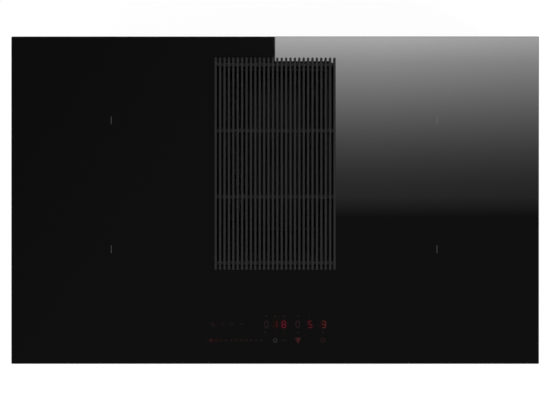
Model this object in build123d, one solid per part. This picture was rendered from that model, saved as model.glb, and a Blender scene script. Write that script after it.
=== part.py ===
from build123d import *
import math
import os

# Downdraft induction cooktop, built into a worktop.
# X to the right, Y to the rear, Z up, in millimetres. Z = 0 is the worktop's surface and
# X = Y = 0 is the middle of the glass.

# ---------------------------------------------------------------- driving dimensions
# Glass and the seal it lies on
GLASS_W = 830.0
GLASS_D = 515.0
GLASS_T = 4.0
GLASS_CORNER = 1.0
GLASS_BEVEL = 0.8
SEAL_T = 2.0
SEAL_INSET = 2.0
SEAL_BAND = 9.0
GASKET_T = 3.0
BUILD_H = 212.0

# Well cut through the glass
WELL_FRONT_MARGIN = 153.8
WELL_REAR_MARGIN = 39.4
WELL_R = 8.0
WELL_BEVEL = 0.5
WELL_CLEAR = 1.5

# Grille
SLAT_COUNT = 28
SLAT_PITCH = 6.9
SLAT_W = 3.5
SLAT_H = 8.0
SLAT_OVERHANG = 5.7
SLAT_LANDING = 3.9
SLAT_EASE = 0.7
SLAT_TIP = 1.2
BAR_COUNT = 4
BAR_END_INSET = 11.0
BAR_W = 5.5
BAR_DROP = 3.5
TONGUE_DEPTH = 5.0
PAD_T = 1.0
PAD_L = 12.0

# Base tray and the frame bonded under the glass
TRAY_SIDE_INSET = 15.0
TRAY_END_INSET = 14.5
TRAY_DEPTH = 54.5
TRAY_GAP = 1.5
TRAY_R = 6.0
TRAY_SHEET = 1.0
FRAME_SHEET = 1.0
FRAME_FLANGE = 12.0
FRAME_LEG = 14.0
FRAME_FIT = 0.1
VENT_L = 52.0
VENT_W = 4.0
VENT_PITCH = 9.0
VENT_COUNT = 5
OUT_VENT_COUNT = 6
OUT_VENT_L = 18.0
OUT_VENT_PITCH = 14.0

# Screws through the tray's walls into the frame
WALL_SCREW_X = 240.0
WALL_SCREW_Y = 0.0

# Side springs
CLIP_W = 24.0
CLIP_SHEET = 0.6
CLIP_BULGE = 3.2
CLIP_BULGE_DROP = 14.3
CLIP_FLAT = 6.6
CLIP_H = 22.0
CLIP_TOP_Z = -4.0
CLIP_Y = 130.0

# Screws: radius of shank, radius of head, height of head
M3 = (1.5, 2.8, 1.8)
M4 = (2.0, 3.8, 2.4)
SCREW_FIT = 0.1

# Sides of the prisms that stand for small and for large hidden round pieces
PIN_SIDES = 12
DRUM_SIDES = 24

# Suction chamber
CHAMBER_MARGIN = 4.0
CHAMBER_R = 11.0
CHAMBER_WALL = 2.5
CHAMBER_FLANGE = 12.0
CHAMBER_FIT = 0.5
RIB_PROUD = 3.0
RIB_T = 2.0
RIB_COUNT = 3
LEDGE_REACH = 9.0
LEDGE_T = 4.0
LEDGE_W = 150.0

# Lift-out grease filter
FILTER_TOP_DROP = 9.0
RIM_H = 9.0
RIM_WALL = 2.5
FILTER_SHEET = 2.0
GRIP_LEDGE = 19.0
GRIP_POCKET_D = 36.0
GRIP_POCKET_W = 113.0
GRIP_POCKET_H = 30.0
GRIP_UNDERCUT = 8.0
BASKET_FIT = 0.3
BASKET_LIP = 2.5
BASKET_LIP_T = 1.0
BASKET_GAP = 3.0
BASKET_REAR_GAP = 10.0
BASKET_H = 128.0
BASKET_SIDE_GAP = 5.5
BASKET_TAPER = 34.0
BOWL_H = 25.0
BOWL_R = 12.0
WINDOW_COUNT = 3
WINDOW_H = 104.0
WINDOW_POST = 9.0
MESH_T = 1.2
MESH_SLOTS = 11
MESH_SLOT_H = 5.0
MESH_BORDER = 8.0

# Induction zones
ZONE_STEP = 1.5
ZONE_FRONT_INSET = 70.1
ZONE_REAR_INSET = 21.4
ZONE_GAP = 10.5
MICA_T = 0.5
COIL_EYE_R = 24.0
COIL_SIDES = 20
COIL_T = 5.5
FERRITE_T = 5.0
FERRITE_MARGIN = 11.0
FERRITE_W = 12.0
FERRITE_COUNT = 6
FERRITE_START_R = 27.0
CARRIER_T = 1.5
CARRIER_SLOT_START_R = 37.6
CARRIER_SLOT_MARGIN = 18.4
CARRIER_SLOT_W = 12.0
SENSOR_R = 6.0
SENSOR_FOOT_R = 8.4
BUFFER_W = 12.0
BUFFER_H = 4.5
BUFFER_SPREAD = 8.0

# Shelves under the zones
SHELF_CONTROL_GAP = 1.0
SHELF_OUTER_GAP = 8.0
SHELF_FRONT_GAP = 65.0
SHELF_REAR_GAP = 7.0
SHELF_SHEET = 1.0
SHELF_RIM = 6.0
SHELF_LEG_W = 20.0
SHELF_FOOT = 12.0

# Power boards
BOARD_W = 230.0
BOARD_FAN_GAP = 10.0
BOARD_FILTER_GAP = 33.0
BOARD_T = 1.6
BOARD_RISE = 8.0
BOARD_TRAY_WALL = 3.0
HEAT_SINK_STEP = 18.0
HEAT_SINK_W = 60.0
HEAT_SINK_END_GAP = 35.0
HEAT_SINK_H = 21.0
HEAT_SINK_BASE = 4.0
FIN_COUNT = 9
FIN_T = 1.6
TRANSISTOR_COUNT = 4
TRANSISTOR_W = 16.0
TRANSISTOR_T = 5.0
TRANSISTOR_H = 17.0
TRANSISTOR_END_GAP = 20.0
CAPACITOR_STEP = 60.0
CAPACITOR_GAP = 6.0
CAPACITOR_W = 18.0
CAPACITOR_H = 20.0
CAPACITOR_COUNT = 4
CAPACITOR_END_GAP = 31.0

# Cooling fans: blade radii, scroll radii and heights
FAN_SIDE_INSET = 100.0
FAN_FRONT_INSET = 57.0
FAN_H = 28.0
FAN_WALL = 1.5
FAN_EYE_R = 24.0
FAN_BLADE_R0 = 25.0
FAN_BLADE_R1 = 32.0
FAN_BLADE_COUNT = 8
FAN_BLADE_BOW = 1.2
FAN_CUTOFF_R = 35.0
FAN_GROWTH = 7.0
FAN_MOUTH_W = 26.0
FAN_THROAT_REACH = 34.0
FAN_MOUTH_REACH = 46.0
FAN_PIN_R = 1.5
FAN_PIN_FIT = 0.05
FAN_BOSS_R = 5.0

# Mains filter board, terminal block, its cover and the cable gland
FILTER_BOARD_SIDE_INSET = 100.0
FILTER_BOARD_REAR_INSET = 65.0
FILTER_BOARD_W = 130.0
FILTER_BOARD_D = 70.0
CHOKE_R = 15.0
CHOKE_BORE_R = 6.75
CHOKE_GAP = 12.0
CHOKE_H = 20.0
RELAY_W = 16.0
RELAY_D = 36.0
RELAY_H = 15.0
POST_W = 6.0
TERMINAL_SIDE_INSET = 70.0
TERMINAL_REAR_INSET = 55.0
TERMINAL_W = 72.0
TERMINAL_D = 26.0
TERMINAL_H = 18.0
TERMINAL_WAYS = 5
TERMINAL_SCREW_DEPTH = 4.0
TERMINAL_ENTRY_L = 8.0
TERMINAL_ENTRY_H = 9.0
CAVITY_LIFT = 1.5
COVER_W = 104.0
COVER_D = 78.0
COVER_H = 34.0
COVER_WALL = 2.0
COVER_EDGE = 1.4
GLAND_BORE_R = 6.5
GLAND_R = 10.0
GLAND_NUT_R = 13.0
GLAND_NUT_T = 6.0
GLAND_L = 22.0

# Touch controls
CONTROL_X = -10.0
CONTROL_FRONT_INSET = 56.0
CONTROL_W = 214.0
CONTROL_D = 55.0
CONTROL_H = 18.0
CONTROL_WALL = 2.0
CONTROL_RISE = 4.0
CONTROL_RAIL = 6.0
CONTROL_FIT = 0.5
DIGIT_STEP = 6.0
DIGIT_XS = (-13.7, 2.0, 13.4, 35.5, 54.1, 76.3)
DIGIT_W = 9.0
DIGIT_D = 13.0
KEY_XS = (-98.0, -83.5, -68.0, -52.0)
SLIDER_STEP = 19.5
SLIDER_X0 = -101.0
SLIDER_X1 = -22.0
SLIDER_PADS = 4
LOWER_KEY_XS = (0.0, 14.0, 35.5, 75.0)
KEY_CONTACT_W = 7.0

# Blower
BLOWER_STEP = 143.0
BLOWER_Y = 0.0
SCROLL_WALL = 3.0
SCROLL_H = 95.0
CUTOFF_GAP = 4.0
SCROLL_GROWTH = 50.0
CUTOFF_ANGLE = 60.0
TONGUE_R = 5.0
OUTLET_W = 222.0
OUTLET_H = 89.0
SPIGOT_L = 20.0
THROAT_REACH = 190.0
EYE_R = 75.0
EYE_LIP = 7.0
EYE_LIP_SLOPE = 5.6
IMPELLER_R = 100.0
BLADE_R0 = 81.0
BLADE_T = 1.4
BLADE_COUNT = 24
BLADE_SWEEP = 9.0
BLADE_BOW = 3.0
IMPELLER_SHEET = 2.5
IMPELLER_TOP_GAP = 4.0
LUG_R = 7.0
LUG_H = 12.0
LUG_ANGLES = (250.0, 300.0, 345.0)

# Plenum between the chamber and the blower's inlet
PLENUM_WALL = 2.5
PLENUM_R = 118.0
PLENUM_FRONT_INSET = 27.7
PLENUM_REAR_INSET = 63.3
PLENUM_GASKET_T = 3.0
WINDOW_MARGIN = 5.0
PLENUM_BOLT_R = 96.0
PLENUM_BOLT_ANGLES = (0.0, 100.0, 260.0)
BOSS_R = 6.0

# Motor, from the scroll's floor upwards
GROMMET_H = 4.0
GROMMET_R = 6.0
GROMMET_CIRCLE_R = 48.0
MOTOR_PLATE_R = 60.0
MOTOR_PLATE_T = 2.0
STATOR_FLANGE_R = 36.0
STATOR_FLANGE_T = 3.0
STATOR_R = 41.5
STATOR_POLES = 9
STATOR_H = 22.0
STATOR_RISE = 8.0
TUBE_R = 15.0
BEARING_R = 11.0
BEARING_H = 7.0
SHAFT_R = 4.0
SHAFT_FIT = 0.05
SHAFT_END = 7.0
AIR_GAP = 0.8
MAGNET_T = 3.0
CUP_T = 2.0
CUP_H = 40.0
CUP_LIFT = 2.0
TUBE_CAP_GAP = 4.0

# ---------------------------------------------------------------- levels and derived sizes
GLASS_Z0 = SEAL_T
GLASS_Z1 = GLASS_Z0 + GLASS_T
BASE_Z = GLASS_Z1 - BUILD_H

SLAT_Z0 = GLASS_Z1 + PAD_T
SLAT_Z1 = SLAT_Z0 + SLAT_H
GRILLE_W = (SLAT_COUNT - 1) * SLAT_PITCH + SLAT_W
WELL_W = GRILLE_W - 2 * SLAT_LANDING
WELL_D = GLASS_D - WELL_FRONT_MARGIN - WELL_REAR_MARGIN
WELL_Y = (WELL_FRONT_MARGIN - WELL_REAR_MARGIN) / 2
SLAT_L = WELL_D + 2 * SLAT_OVERHANG
BAR_PITCH = (SLAT_L - 2 * BAR_END_INSET) / (BAR_COUNT - 1)
TONGUE_Z0 = GLASS_Z1 - TONGUE_DEPTH

TRAY_W = GLASS_W - 2 * TRAY_SIDE_INSET
TRAY_D = GLASS_D - 2 * TRAY_END_INSET
TRAY_Z1 = GLASS_Z0 - TRAY_GAP
TRAY_Z0 = TRAY_Z1 - TRAY_DEPTH
FLOOR_Z = TRAY_Z0 + TRAY_SHEET

CHAMBER_W = WELL_W + 2 * CHAMBER_MARGIN
CHAMBER_D = WELL_D + 2 * CHAMBER_MARGIN
CHAMBER_Z1 = GLASS_Z0 - GASKET_T
FLANGE_Z0 = TRAY_Z0 - CHAMBER_WALL
RIM_Z1 = GLASS_Z1 - FILTER_TOP_DROP
RIM_Z0 = RIM_Z1 - RIM_H
BASKET_Z0 = RIM_Z0 - BASKET_H
FILTER_W = WELL_W - 2 * WELL_CLEAR
FILTER_D = WELL_D - 2 * WELL_CLEAR
FILTER_Y0 = WELL_Y - FILTER_D / 2
FILTER_Y1 = WELL_Y + FILTER_D / 2
POCKET_Y0 = FILTER_Y0 + GRIP_LEDGE
POCKET_Y1 = POCKET_Y0 + GRIP_POCKET_D
BASKET_TOP_HALF = FILTER_W / 2 - BASKET_SIDE_GAP
BASKET_LOW_HALF = BASKET_TOP_HALF - BASKET_TAPER
BASKET_Y0 = POCKET_Y1 + BASKET_GAP
BASKET_Y1 = FILTER_Y1 - BASKET_REAR_GAP

SHELF_X0 = CONTROL_W / 2 - CONTROL_X + SHELF_CONTROL_GAP
SHELF_X1 = TRAY_W / 2 - SHELF_OUTER_GAP
SHELF_Y0 = SHELF_FRONT_GAP - TRAY_D / 2
SHELF_Y1 = TRAY_D / 2 - SHELF_REAR_GAP
ZONE_X = (SHELF_X0 + SHELF_X1) / 2 + ZONE_STEP
COIL_R = (TRAY_D - ZONE_FRONT_INSET - ZONE_REAR_INSET - ZONE_GAP) / 4
ZONE_FRONT_Y = ZONE_FRONT_INSET + COIL_R - TRAY_D / 2
ZONE_REAR_Y = TRAY_D / 2 - ZONE_REAR_INSET - COIL_R
FERRITE_L = COIL_R - FERRITE_START_R - FERRITE_MARGIN
BUFFER_STEP = COIL_R + BUFFER_SPREAD
BOARD_X = (SHELF_X0 + SHELF_X1) / 2
FAN_X = TRAY_W / 2 - FAN_SIDE_INSET
FAN_Y = FAN_FRONT_INSET - TRAY_D / 2
FILTER_BOARD_X = FILTER_BOARD_SIDE_INSET - TRAY_W / 2
FILTER_BOARD_Y = TRAY_D / 2 - FILTER_BOARD_REAR_INSET
BOARD_Y0 = FAN_Y + FAN_MOUTH_REACH + BOARD_FAN_GAP
BOARD_Y1 = FILTER_BOARD_Y - FILTER_BOARD_D / 2 - BOARD_FILTER_GAP
BOARD_Y = (BOARD_Y0 + BOARD_Y1) / 2
BOARD_D = BOARD_Y1 - BOARD_Y0
HEAT_SINK_X = FAN_X + HEAT_SINK_STEP
HEAT_SINK_L = BOARD_D - 2 * HEAT_SINK_END_GAP
TRANSISTOR_ROW = HEAT_SINK_L - 2 * TRANSISTOR_END_GAP
TRANSISTOR_PITCH = (TRANSISTOR_ROW - TRANSISTOR_W) / (TRANSISTOR_COUNT - 1)
CAPACITOR_X = BOARD_X - CAPACITOR_STEP
CAPACITOR_ROW = BOARD_D - 2 * CAPACITOR_END_GAP
CAPACITOR_PITCH = (CAPACITOR_ROW + CAPACITOR_GAP) / CAPACITOR_COUNT
CAPACITOR_L = CAPACITOR_PITCH - CAPACITOR_GAP
TERMINAL_X = TERMINAL_SIDE_INSET - TRAY_W / 2
TERMINAL_Y = TRAY_D / 2 - TERMINAL_REAR_INSET
CONTROL_Y = CONTROL_FRONT_INSET - GLASS_D / 2
DIGIT_Y = CONTROL_Y + DIGIT_STEP
SLIDER_Y = CONTROL_Y - SLIDER_STEP
BLOWER_X = CHAMBER_W / 2 + BLOWER_STEP
OUTLET_Y = TRAY_D / 2
THROAT_Y = BLOWER_Y + THROAT_REACH

MICA_Z0 = GLASS_Z0 - MICA_T
COIL_Z0 = MICA_Z0 - COIL_T
FERRITE_Z0 = COIL_Z0 - FERRITE_T
CARRIER_Z0 = FERRITE_Z0 - CARRIER_T
SHELF_Z1 = CARRIER_Z0 - BUFFER_H
SHELF_Z0 = SHELF_Z1 - SHELF_SHEET
BOARD_Z0 = FLOOR_Z + BOARD_RISE
BOARD_Z1 = BOARD_Z0 + BOARD_T

SCROLL_Z1 = BASE_Z + SCROLL_H
COVER_Z0 = SCROLL_Z1 - SCROLL_WALL
SCROLL_FLOOR = BASE_Z + SCROLL_WALL
CUTOFF_R = IMPELLER_R + CUTOFF_GAP
SCROLL_R1 = CUTOFF_R + SCROLL_GROWTH
OUTLET_X1 = BLOWER_X + SCROLL_R1 + SCROLL_WALL
OUTLET_X0 = OUTLET_X1 - OUTLET_W
SHOULDER_Y = OUTLET_Y - SPIGOT_L
PLENUM_Y0 = WELL_Y - CHAMBER_D / 2 + PLENUM_FRONT_INSET
PLENUM_Y1 = WELL_Y + CHAMBER_D / 2 - PLENUM_REAR_INSET
PLENUM_Z1 = FLANGE_Z0
PLENUM_X0 = CHAMBER_W / 2 + PLENUM_GASKET_T
WINDOW_Z0 = SCROLL_Z1 + WINDOW_MARGIN
WINDOW_Z1 = PLENUM_Z1 - WINDOW_MARGIN
WINDOW_Y0 = PLENUM_Y0 + WINDOW_MARGIN
WINDOW_Y1 = PLENUM_Y1 - WINDOW_MARGIN

MOTOR_PLATE_Z0 = SCROLL_FLOOR + GROMMET_H
STATOR_Z0 = MOTOR_PLATE_Z0 + MOTOR_PLATE_T
CUP_Z0 = STATOR_Z0 + STATOR_FLANGE_T + CUP_LIFT
CUP_Z1 = CUP_Z0 + CUP_H
CUP_INNER_R = STATOR_R + AIR_GAP + MAGNET_T
CUP_R = CUP_INNER_R + CUP_T
TUBE_Z1 = CUP_Z1 - CUP_T - TUBE_CAP_GAP
IMPELLER_Z0 = CUP_Z0 + CUP_LIFT
IMPELLER_Z1 = COVER_Z0 - EYE_LIP - IMPELLER_TOP_GAP

CONTROL_Z0 = GLASS_Z0 - CONTROL_H
CONTROL_BOARD_Z0 = CONTROL_Z0 + CONTROL_WALL + CONTROL_RISE
CONTROL_BOARD_Z1 = CONTROL_BOARD_Z0 + BOARD_T


# ---------------------------------------------------------------- shared shapes
def block(x0, x1, y0, y1, z0, z1):
    """Box between two corners."""
    centre = Pos((x0 + x1) / 2, (y0 + y1) / 2, (z0 + z1) / 2)
    return centre * Box(x1 - x0, y1 - y0, z1 - z0)


def plate(w, d, r, z0, z1, x=0.0, y=0.0):
    """Rounded rectangle w by d, from z0 up to z1."""
    return Pos(x, y, z0) * extrude(RectangleRounded(w, d, r), z1 - z0)


def cut_plate(w, d, c, z0, z1, x=0.0, y=0.0):
    """Rectangle w by d with its corners cut off by c, from z0 up to z1."""
    outline = chamfer(Rectangle(w, d).vertices(), c)
    return Pos(x, y, z0) * extrude(outline, z1 - z0)


def rod(r, z0, z1, x=0.0, y=0.0):
    """Upright cylinder from z0 up to z1."""
    return Pos(x, y, (z0 + z1) / 2) * Cylinder(r, z1 - z0)


def prism(r, z0, z1, x=0.0, y=0.0, sides=PIN_SIDES):
    """Upright many-sided prism whose flats lie at r from its axis."""
    return Pos(x, y, z0) * extrude(RegularPolygon(r, sides, major_radius=False), z1 - z0)


def prism_ring(r_outer, r_inner, z0, z1, x=0.0, y=0.0, sides=PIN_SIDES):
    """Upright many-sided ring, both radii measured to the flats."""
    return prism(r_outer, z0, z1, x, y, sides) - prism(r_inner, z0, z1, x, y, sides)


def screw(size, grip):
    """Hexagon head screw with a lobed shank: seat at the origin, head up, shank down."""
    shank_r, head_r, head_h = size
    return prism(head_r, 0, head_h, sides=6) + prism(shank_r, -grip, 0, sides=6)


def drilled(shape, size, places, z0, z1):
    """The shape with a clearance hole for an upright screw at each place."""
    holes = [prism(size[0] + SCREW_FIT, z0, z1, x, y, sides=6) for x, y in places]
    return shape.cut(*holes)


def mirrored(shape, side):
    """The right-hand shape, or its mirror image on the left where side is -1."""
    return shape if side > 0 else mirror(shape, Plane.YZ)


def save(node, *shapes):
    """One STEP file for one named piece, or for a set of like pieces."""
    solids = [solid for shape in shapes for solid in shape.solids()]
    export_step(solids[0] if len(solids) == 1 else Compound(solids), f"parts/{node}.step")


# ---------------------------------------------------------------- glass, seal and grille
def glass_top():
    """Glass ceramic sheet with a ground edge all round and a rounded well."""
    sheet = cut_plate(GLASS_W, GLASS_D, GLASS_CORNER, GLASS_Z0, GLASS_Z1)
    sheet = chamfer(sheet.faces().sort_by(Axis.Z)[-1].edges(), GLASS_BEVEL)
    well = plate(WELL_W, WELL_D, WELL_R, GLASS_Z0, GLASS_Z1, y=WELL_Y)
    sheet -= well
    rim = sheet.faces().sort_by(Axis.Z)[-1].inner_wires()[0].edges()
    return chamfer(rim, WELL_BEVEL)


def worktop_seal():
    """Foam tape between the glass edge and the worktop."""
    w = GLASS_W - 2 * SEAL_INSET
    d = GLASS_D - 2 * SEAL_INSET
    outer = cut_plate(w, d, GLASS_CORNER, 0, SEAL_T)
    return outer - cut_plate(w - 2 * SEAL_BAND, d - 2 * SEAL_BAND, GLASS_CORNER, 0, SEAL_T)


def slat_x(index):
    return (index - (SLAT_COUNT - 1) / 2) * SLAT_PITCH


def bar_y(index):
    return WELL_Y + (index - (BAR_COUNT - 1) / 2) * BAR_PITCH


def grille_slat():
    """One slat along Y: tips eased in plan and long top edges eased."""
    outline = chamfer(Rectangle(SLAT_W, SLAT_L).vertices(), SLAT_TIP)
    body = Pos(0, WELL_Y, SLAT_Z0) * extrude(outline, SLAT_H)
    top = body.faces().sort_by(Axis.Z)[-1]
    return chamfer(top.edges().filter_by(Axis.Y), SLAT_EASE)


def grille():
    """Cast grille: slats on cross bars that stand lower and drop into the well."""
    slat = grille_slat()
    slats = [Pos(slat_x(i), 0, 0) * slat for i in range(SLAT_COUNT)]
    tongue_half = WELL_W / 2 - WELL_R
    bars = []
    for i in range(BAR_COUNT):
        y0 = bar_y(i) - BAR_W / 2
        y1 = bar_y(i) + BAR_W / 2
        end = GRILLE_W / 2 - SLAT_W / 2
        bars.append(block(-end, end, y0, y1, SLAT_Z0, SLAT_Z1 - BAR_DROP))
        bars.append(block(-tongue_half, tongue_half, y0, y1, TONGUE_Z0, SLAT_Z0))
    return bars[0].fuse(*bars[1:], *slats)


def grille_pads():
    """Silicone feet under the outer slats, beside each cross bar, resting on the glass."""
    pads = []
    for side in (-1, 1):
        for i in range(BAR_COUNT):
            x = side * (GRILLE_W - SLAT_W) / 2
            pads.append(Pos(x, bar_y(i), GLASS_Z1 + PAD_T / 2) * Box(SLAT_W, PAD_L, PAD_T))
    return pads


# ---------------------------------------------------------------- tray, frame and springs
TRAY_INNER_W = TRAY_W - 2 * TRAY_SHEET
TRAY_INNER_D = TRAY_D - 2 * TRAY_SHEET
TRAY_SCREW_Z = GLASS_Z0 - FRAME_SHEET - FRAME_LEG / 2
CHAMBER_SCREWS = [
    (side * (CHAMBER_W + CHAMBER_FLANGE) / 2, WELL_Y + step * CHAMBER_D / 3)
    for side in (-1, 1)
    for step in (-1, 0, 1)
]
PLENUM_SCREWS = [
    (
        BLOWER_X + PLENUM_BOLT_R * math.cos(math.radians(angle)),
        BLOWER_Y + PLENUM_BOLT_R * math.sin(math.radians(angle)),
    )
    for angle in PLENUM_BOLT_ANGLES
]
COVER_SCREWS = [
    (TERMINAL_X + side * (COVER_W / 2 - BOSS_R), TERMINAL_Y - COVER_D / 2 + BOSS_R)
    for side in (-1, 1)
]


def side_screw_places():
    """Seat, as a plane facing outwards, of each screw through the tray's wall."""
    places = []
    for side in (-1, 1):
        at = (side * TRAY_W / 2, WALL_SCREW_Y, TRAY_SCREW_Z)
        places.append(Plane(at, x_dir=(0, 1, 0), z_dir=(side, 0, 0)))
        for step in (-1, 1):
            at = (step * WALL_SCREW_X, side * TRAY_D / 2, TRAY_SCREW_Z)
            places.append(Plane(at, x_dir=(1, 0, 0), z_dir=(0, side, 0)))
    return places


def side_drilled(shape):
    """The shape with a clearance hole at each screw through the tray's wall."""
    for place in side_screw_places():
        shape -= place * prism(M3[0] + SCREW_FIT, -FRAME_LEG, FRAME_LEG, sides=6)
    return shape


def base_tray():
    """Drawn sheet tray: open top, chamber opening, fan inlets and air outlets."""
    tray = plate(TRAY_W, TRAY_D, TRAY_R, TRAY_Z0, TRAY_Z1)
    tray -= plate(TRAY_INNER_W, TRAY_INNER_D, TRAY_R - TRAY_SHEET, FLOOR_Z, TRAY_Z1)
    opening_w = CHAMBER_W + 2 * CHAMBER_FIT
    opening_d = CHAMBER_D + 2 * CHAMBER_FIT
    cuts = [cut_plate(opening_w, opening_d, CHAMBER_R / 2, TRAY_Z0, FLOOR_Z, y=WELL_Y)]
    for side in (-1, 1):
        for i in range(VENT_COUNT):
            x = side * FAN_X + (i - (VENT_COUNT - 1) / 2) * VENT_PITCH
            slot = Box(VENT_W, VENT_L, TRAY_SHEET)
            cuts.append(Pos(x, FAN_Y, TRAY_Z0 + TRAY_SHEET / 2) * slot)
        for i in range(OUT_VENT_COUNT):
            x = side * (BOARD_X + (i - (OUT_VENT_COUNT - 1) / 2) * OUT_VENT_PITCH)
            z = (FLOOR_Z + SHELF_Z0) / 2
            slot = Box(VENT_W, TRAY_SHEET, OUT_VENT_L)
            cuts.append(Pos(x, (TRAY_D - TRAY_SHEET) / 2, z) * slot)
    lead_y = TERMINAL_Y - TERMINAL_D / 2 - COVER_WALL
    half = TERMINAL_W / 4
    cuts.append(block(TERMINAL_X - half, TERMINAL_X + half, lead_y - half / 2, lead_y, TRAY_Z0, FLOOR_Z))
    tray = tray.cut(*cuts)
    tray = drilled(tray, M4, CHAMBER_SCREWS + PLENUM_SCREWS, TRAY_Z0, FLOOR_Z)
    tray = drilled(tray, M3, COVER_SCREWS, TRAY_Z0, FLOOR_Z)
    return side_drilled(tray)


def glass_frame():
    """Angle frame bonded under the glass, with its legs inside the tray's walls."""
    w = TRAY_INNER_W - 2 * FRAME_FIT
    d = TRAY_INNER_D - 2 * FRAME_FIT
    z0 = GLASS_Z0 - FRAME_SHEET - FRAME_LEG
    corner = TRAY_R
    frame = cut_plate(w, d, corner, z0, GLASS_Z0)
    leg_w = w - 2 * FRAME_SHEET
    leg_d = d - 2 * FRAME_SHEET
    frame -= cut_plate(leg_w, leg_d, corner, z0, GLASS_Z0 - FRAME_SHEET)
    flange_w = w - 2 * FRAME_FLANGE
    flange_d = d - 2 * FRAME_FLANGE
    frame -= cut_plate(flange_w, flange_d, corner, z0, GLASS_Z0)
    return side_drilled(frame)


def tray_screws():
    return [place * screw(M3, 2 * TRAY_SHEET + FRAME_SHEET) for place in side_screw_places()]


def side_clip():
    """Bowed leaf spring on the tray's right wall; it presses on the worktop's cut edge."""
    x = TRAY_W / 2
    outer = [
        (x + CLIP_SHEET, CLIP_TOP_Z),
        (x + CLIP_SHEET, CLIP_TOP_Z - CLIP_FLAT),
        (x + CLIP_BULGE, CLIP_TOP_Z - CLIP_BULGE_DROP),
        (x + CLIP_SHEET * 2, CLIP_TOP_Z - CLIP_H),
    ]
    inner = [(px - CLIP_SHEET, pz) for px, pz in reversed(outer)]
    profile = make_face(Plane.XZ * Polyline(*outer, *inner, close=True))
    return Pos(0, CLIP_Y - CLIP_W / 2, 0) * extrude(profile, CLIP_W, dir=(0, 1, 0))


def side_clips():
    clips = []
    for side in (-1, 1):
        clip = mirrored(side_clip(), side)
        clips.append(clip)
        clips.append(mirror(clip, Plane.XZ))
    return clips


# ---------------------------------------------------------------- suction chamber and filter
def chamber_gasket():
    outer = cut_plate(CHAMBER_W, CHAMBER_D, CHAMBER_R / 2, CHAMBER_Z1, GLASS_Z0, y=WELL_Y)
    hole_w = CHAMBER_W - 2 * CHAMBER_WALL
    hole_d = CHAMBER_D - 2 * CHAMBER_WALL
    return outer - cut_plate(hole_w, hole_d, CHAMBER_WALL, CHAMBER_Z1, GLASS_Z0, y=WELL_Y)


def air_window(x0, x1):
    """Space of the air passage from the chamber to the plenum."""
    return block(x0, x1, WINDOW_Y0, WINDOW_Y1, WINDOW_Z0, WINDOW_Z1)


def suction_chamber():
    """Moulded tub under the well: ribs outside, filter ledges inside, window to the plenum."""
    inner_w = CHAMBER_W - 2 * CHAMBER_WALL
    inner_d = CHAMBER_D - 2 * CHAMBER_WALL
    tub = plate(CHAMBER_W, CHAMBER_D, CHAMBER_R, BASE_Z, CHAMBER_Z1, y=WELL_Y)
    flange_w = CHAMBER_W + 2 * CHAMBER_FLANGE
    flange_d = CHAMBER_D + 2 * CHAMBER_FLANGE
    tub += cut_plate(flange_w, flange_d, CHAMBER_R, FLANGE_Z0, TRAY_Z0, y=WELL_Y)
    ribs = []
    for i in range(RIB_COUNT):
        step = (i + 0.5) / RIB_COUNT - 0.5
        y = WELL_Y + step * (CHAMBER_D - 2 * CHAMBER_R)
        x = step * (CHAMBER_W - 2 * CHAMBER_R)
        middle = (BASE_Z + FLANGE_Z0) / 2
        side_rib = Box(RIB_PROUD, RIB_T, FLANGE_Z0 - BASE_Z)
        ribs.append(Pos(-(CHAMBER_W + RIB_PROUD) / 2, y, middle) * side_rib)
        end_rib = Box(RIB_T, RIB_PROUD, FLANGE_Z0 - BASE_Z)
        for side in (-1, 1):
            ribs.append(Pos(x, WELL_Y + side * (CHAMBER_D + RIB_PROUD) / 2, middle) * end_rib)
    tub = tub.fuse(*ribs)
    tub -= cut_plate(inner_w, inner_d, CHAMBER_WALL, BASE_Z + CHAMBER_WALL, CHAMBER_Z1, y=WELL_Y)
    for side in (-1, 1):
        y = WELL_Y + side * (inner_d - LEDGE_REACH) / 2
        tub += Pos(0, y, RIM_Z0 - LEDGE_T / 2) * Box(LEDGE_W, LEDGE_REACH, LEDGE_T)
    tub -= air_window(CHAMBER_W / 2 - CHAMBER_WALL, CHAMBER_W / 2)
    return drilled(tub, M4, CHAMBER_SCREWS, FLANGE_Z0, TRAY_Z0)


def basket_section(inset):
    """Section across the filter basket, wide at the top, inset from its outer faces."""
    return make_face(
        Plane.XZ
        * Polyline(
            (-BASKET_TOP_HALF + inset, RIM_Z0),
            (BASKET_TOP_HALF - inset, RIM_Z0),
            (BASKET_LOW_HALF - inset, BASKET_Z0),
            (-BASKET_LOW_HALF + inset, BASKET_Z0),
            close=True,
        )
    )


def basket_prism(inset, y0, y1):
    return Pos(0, y0, 0) * extrude(basket_section(inset), y1 - y0, dir=(0, 1, 0))


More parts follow.
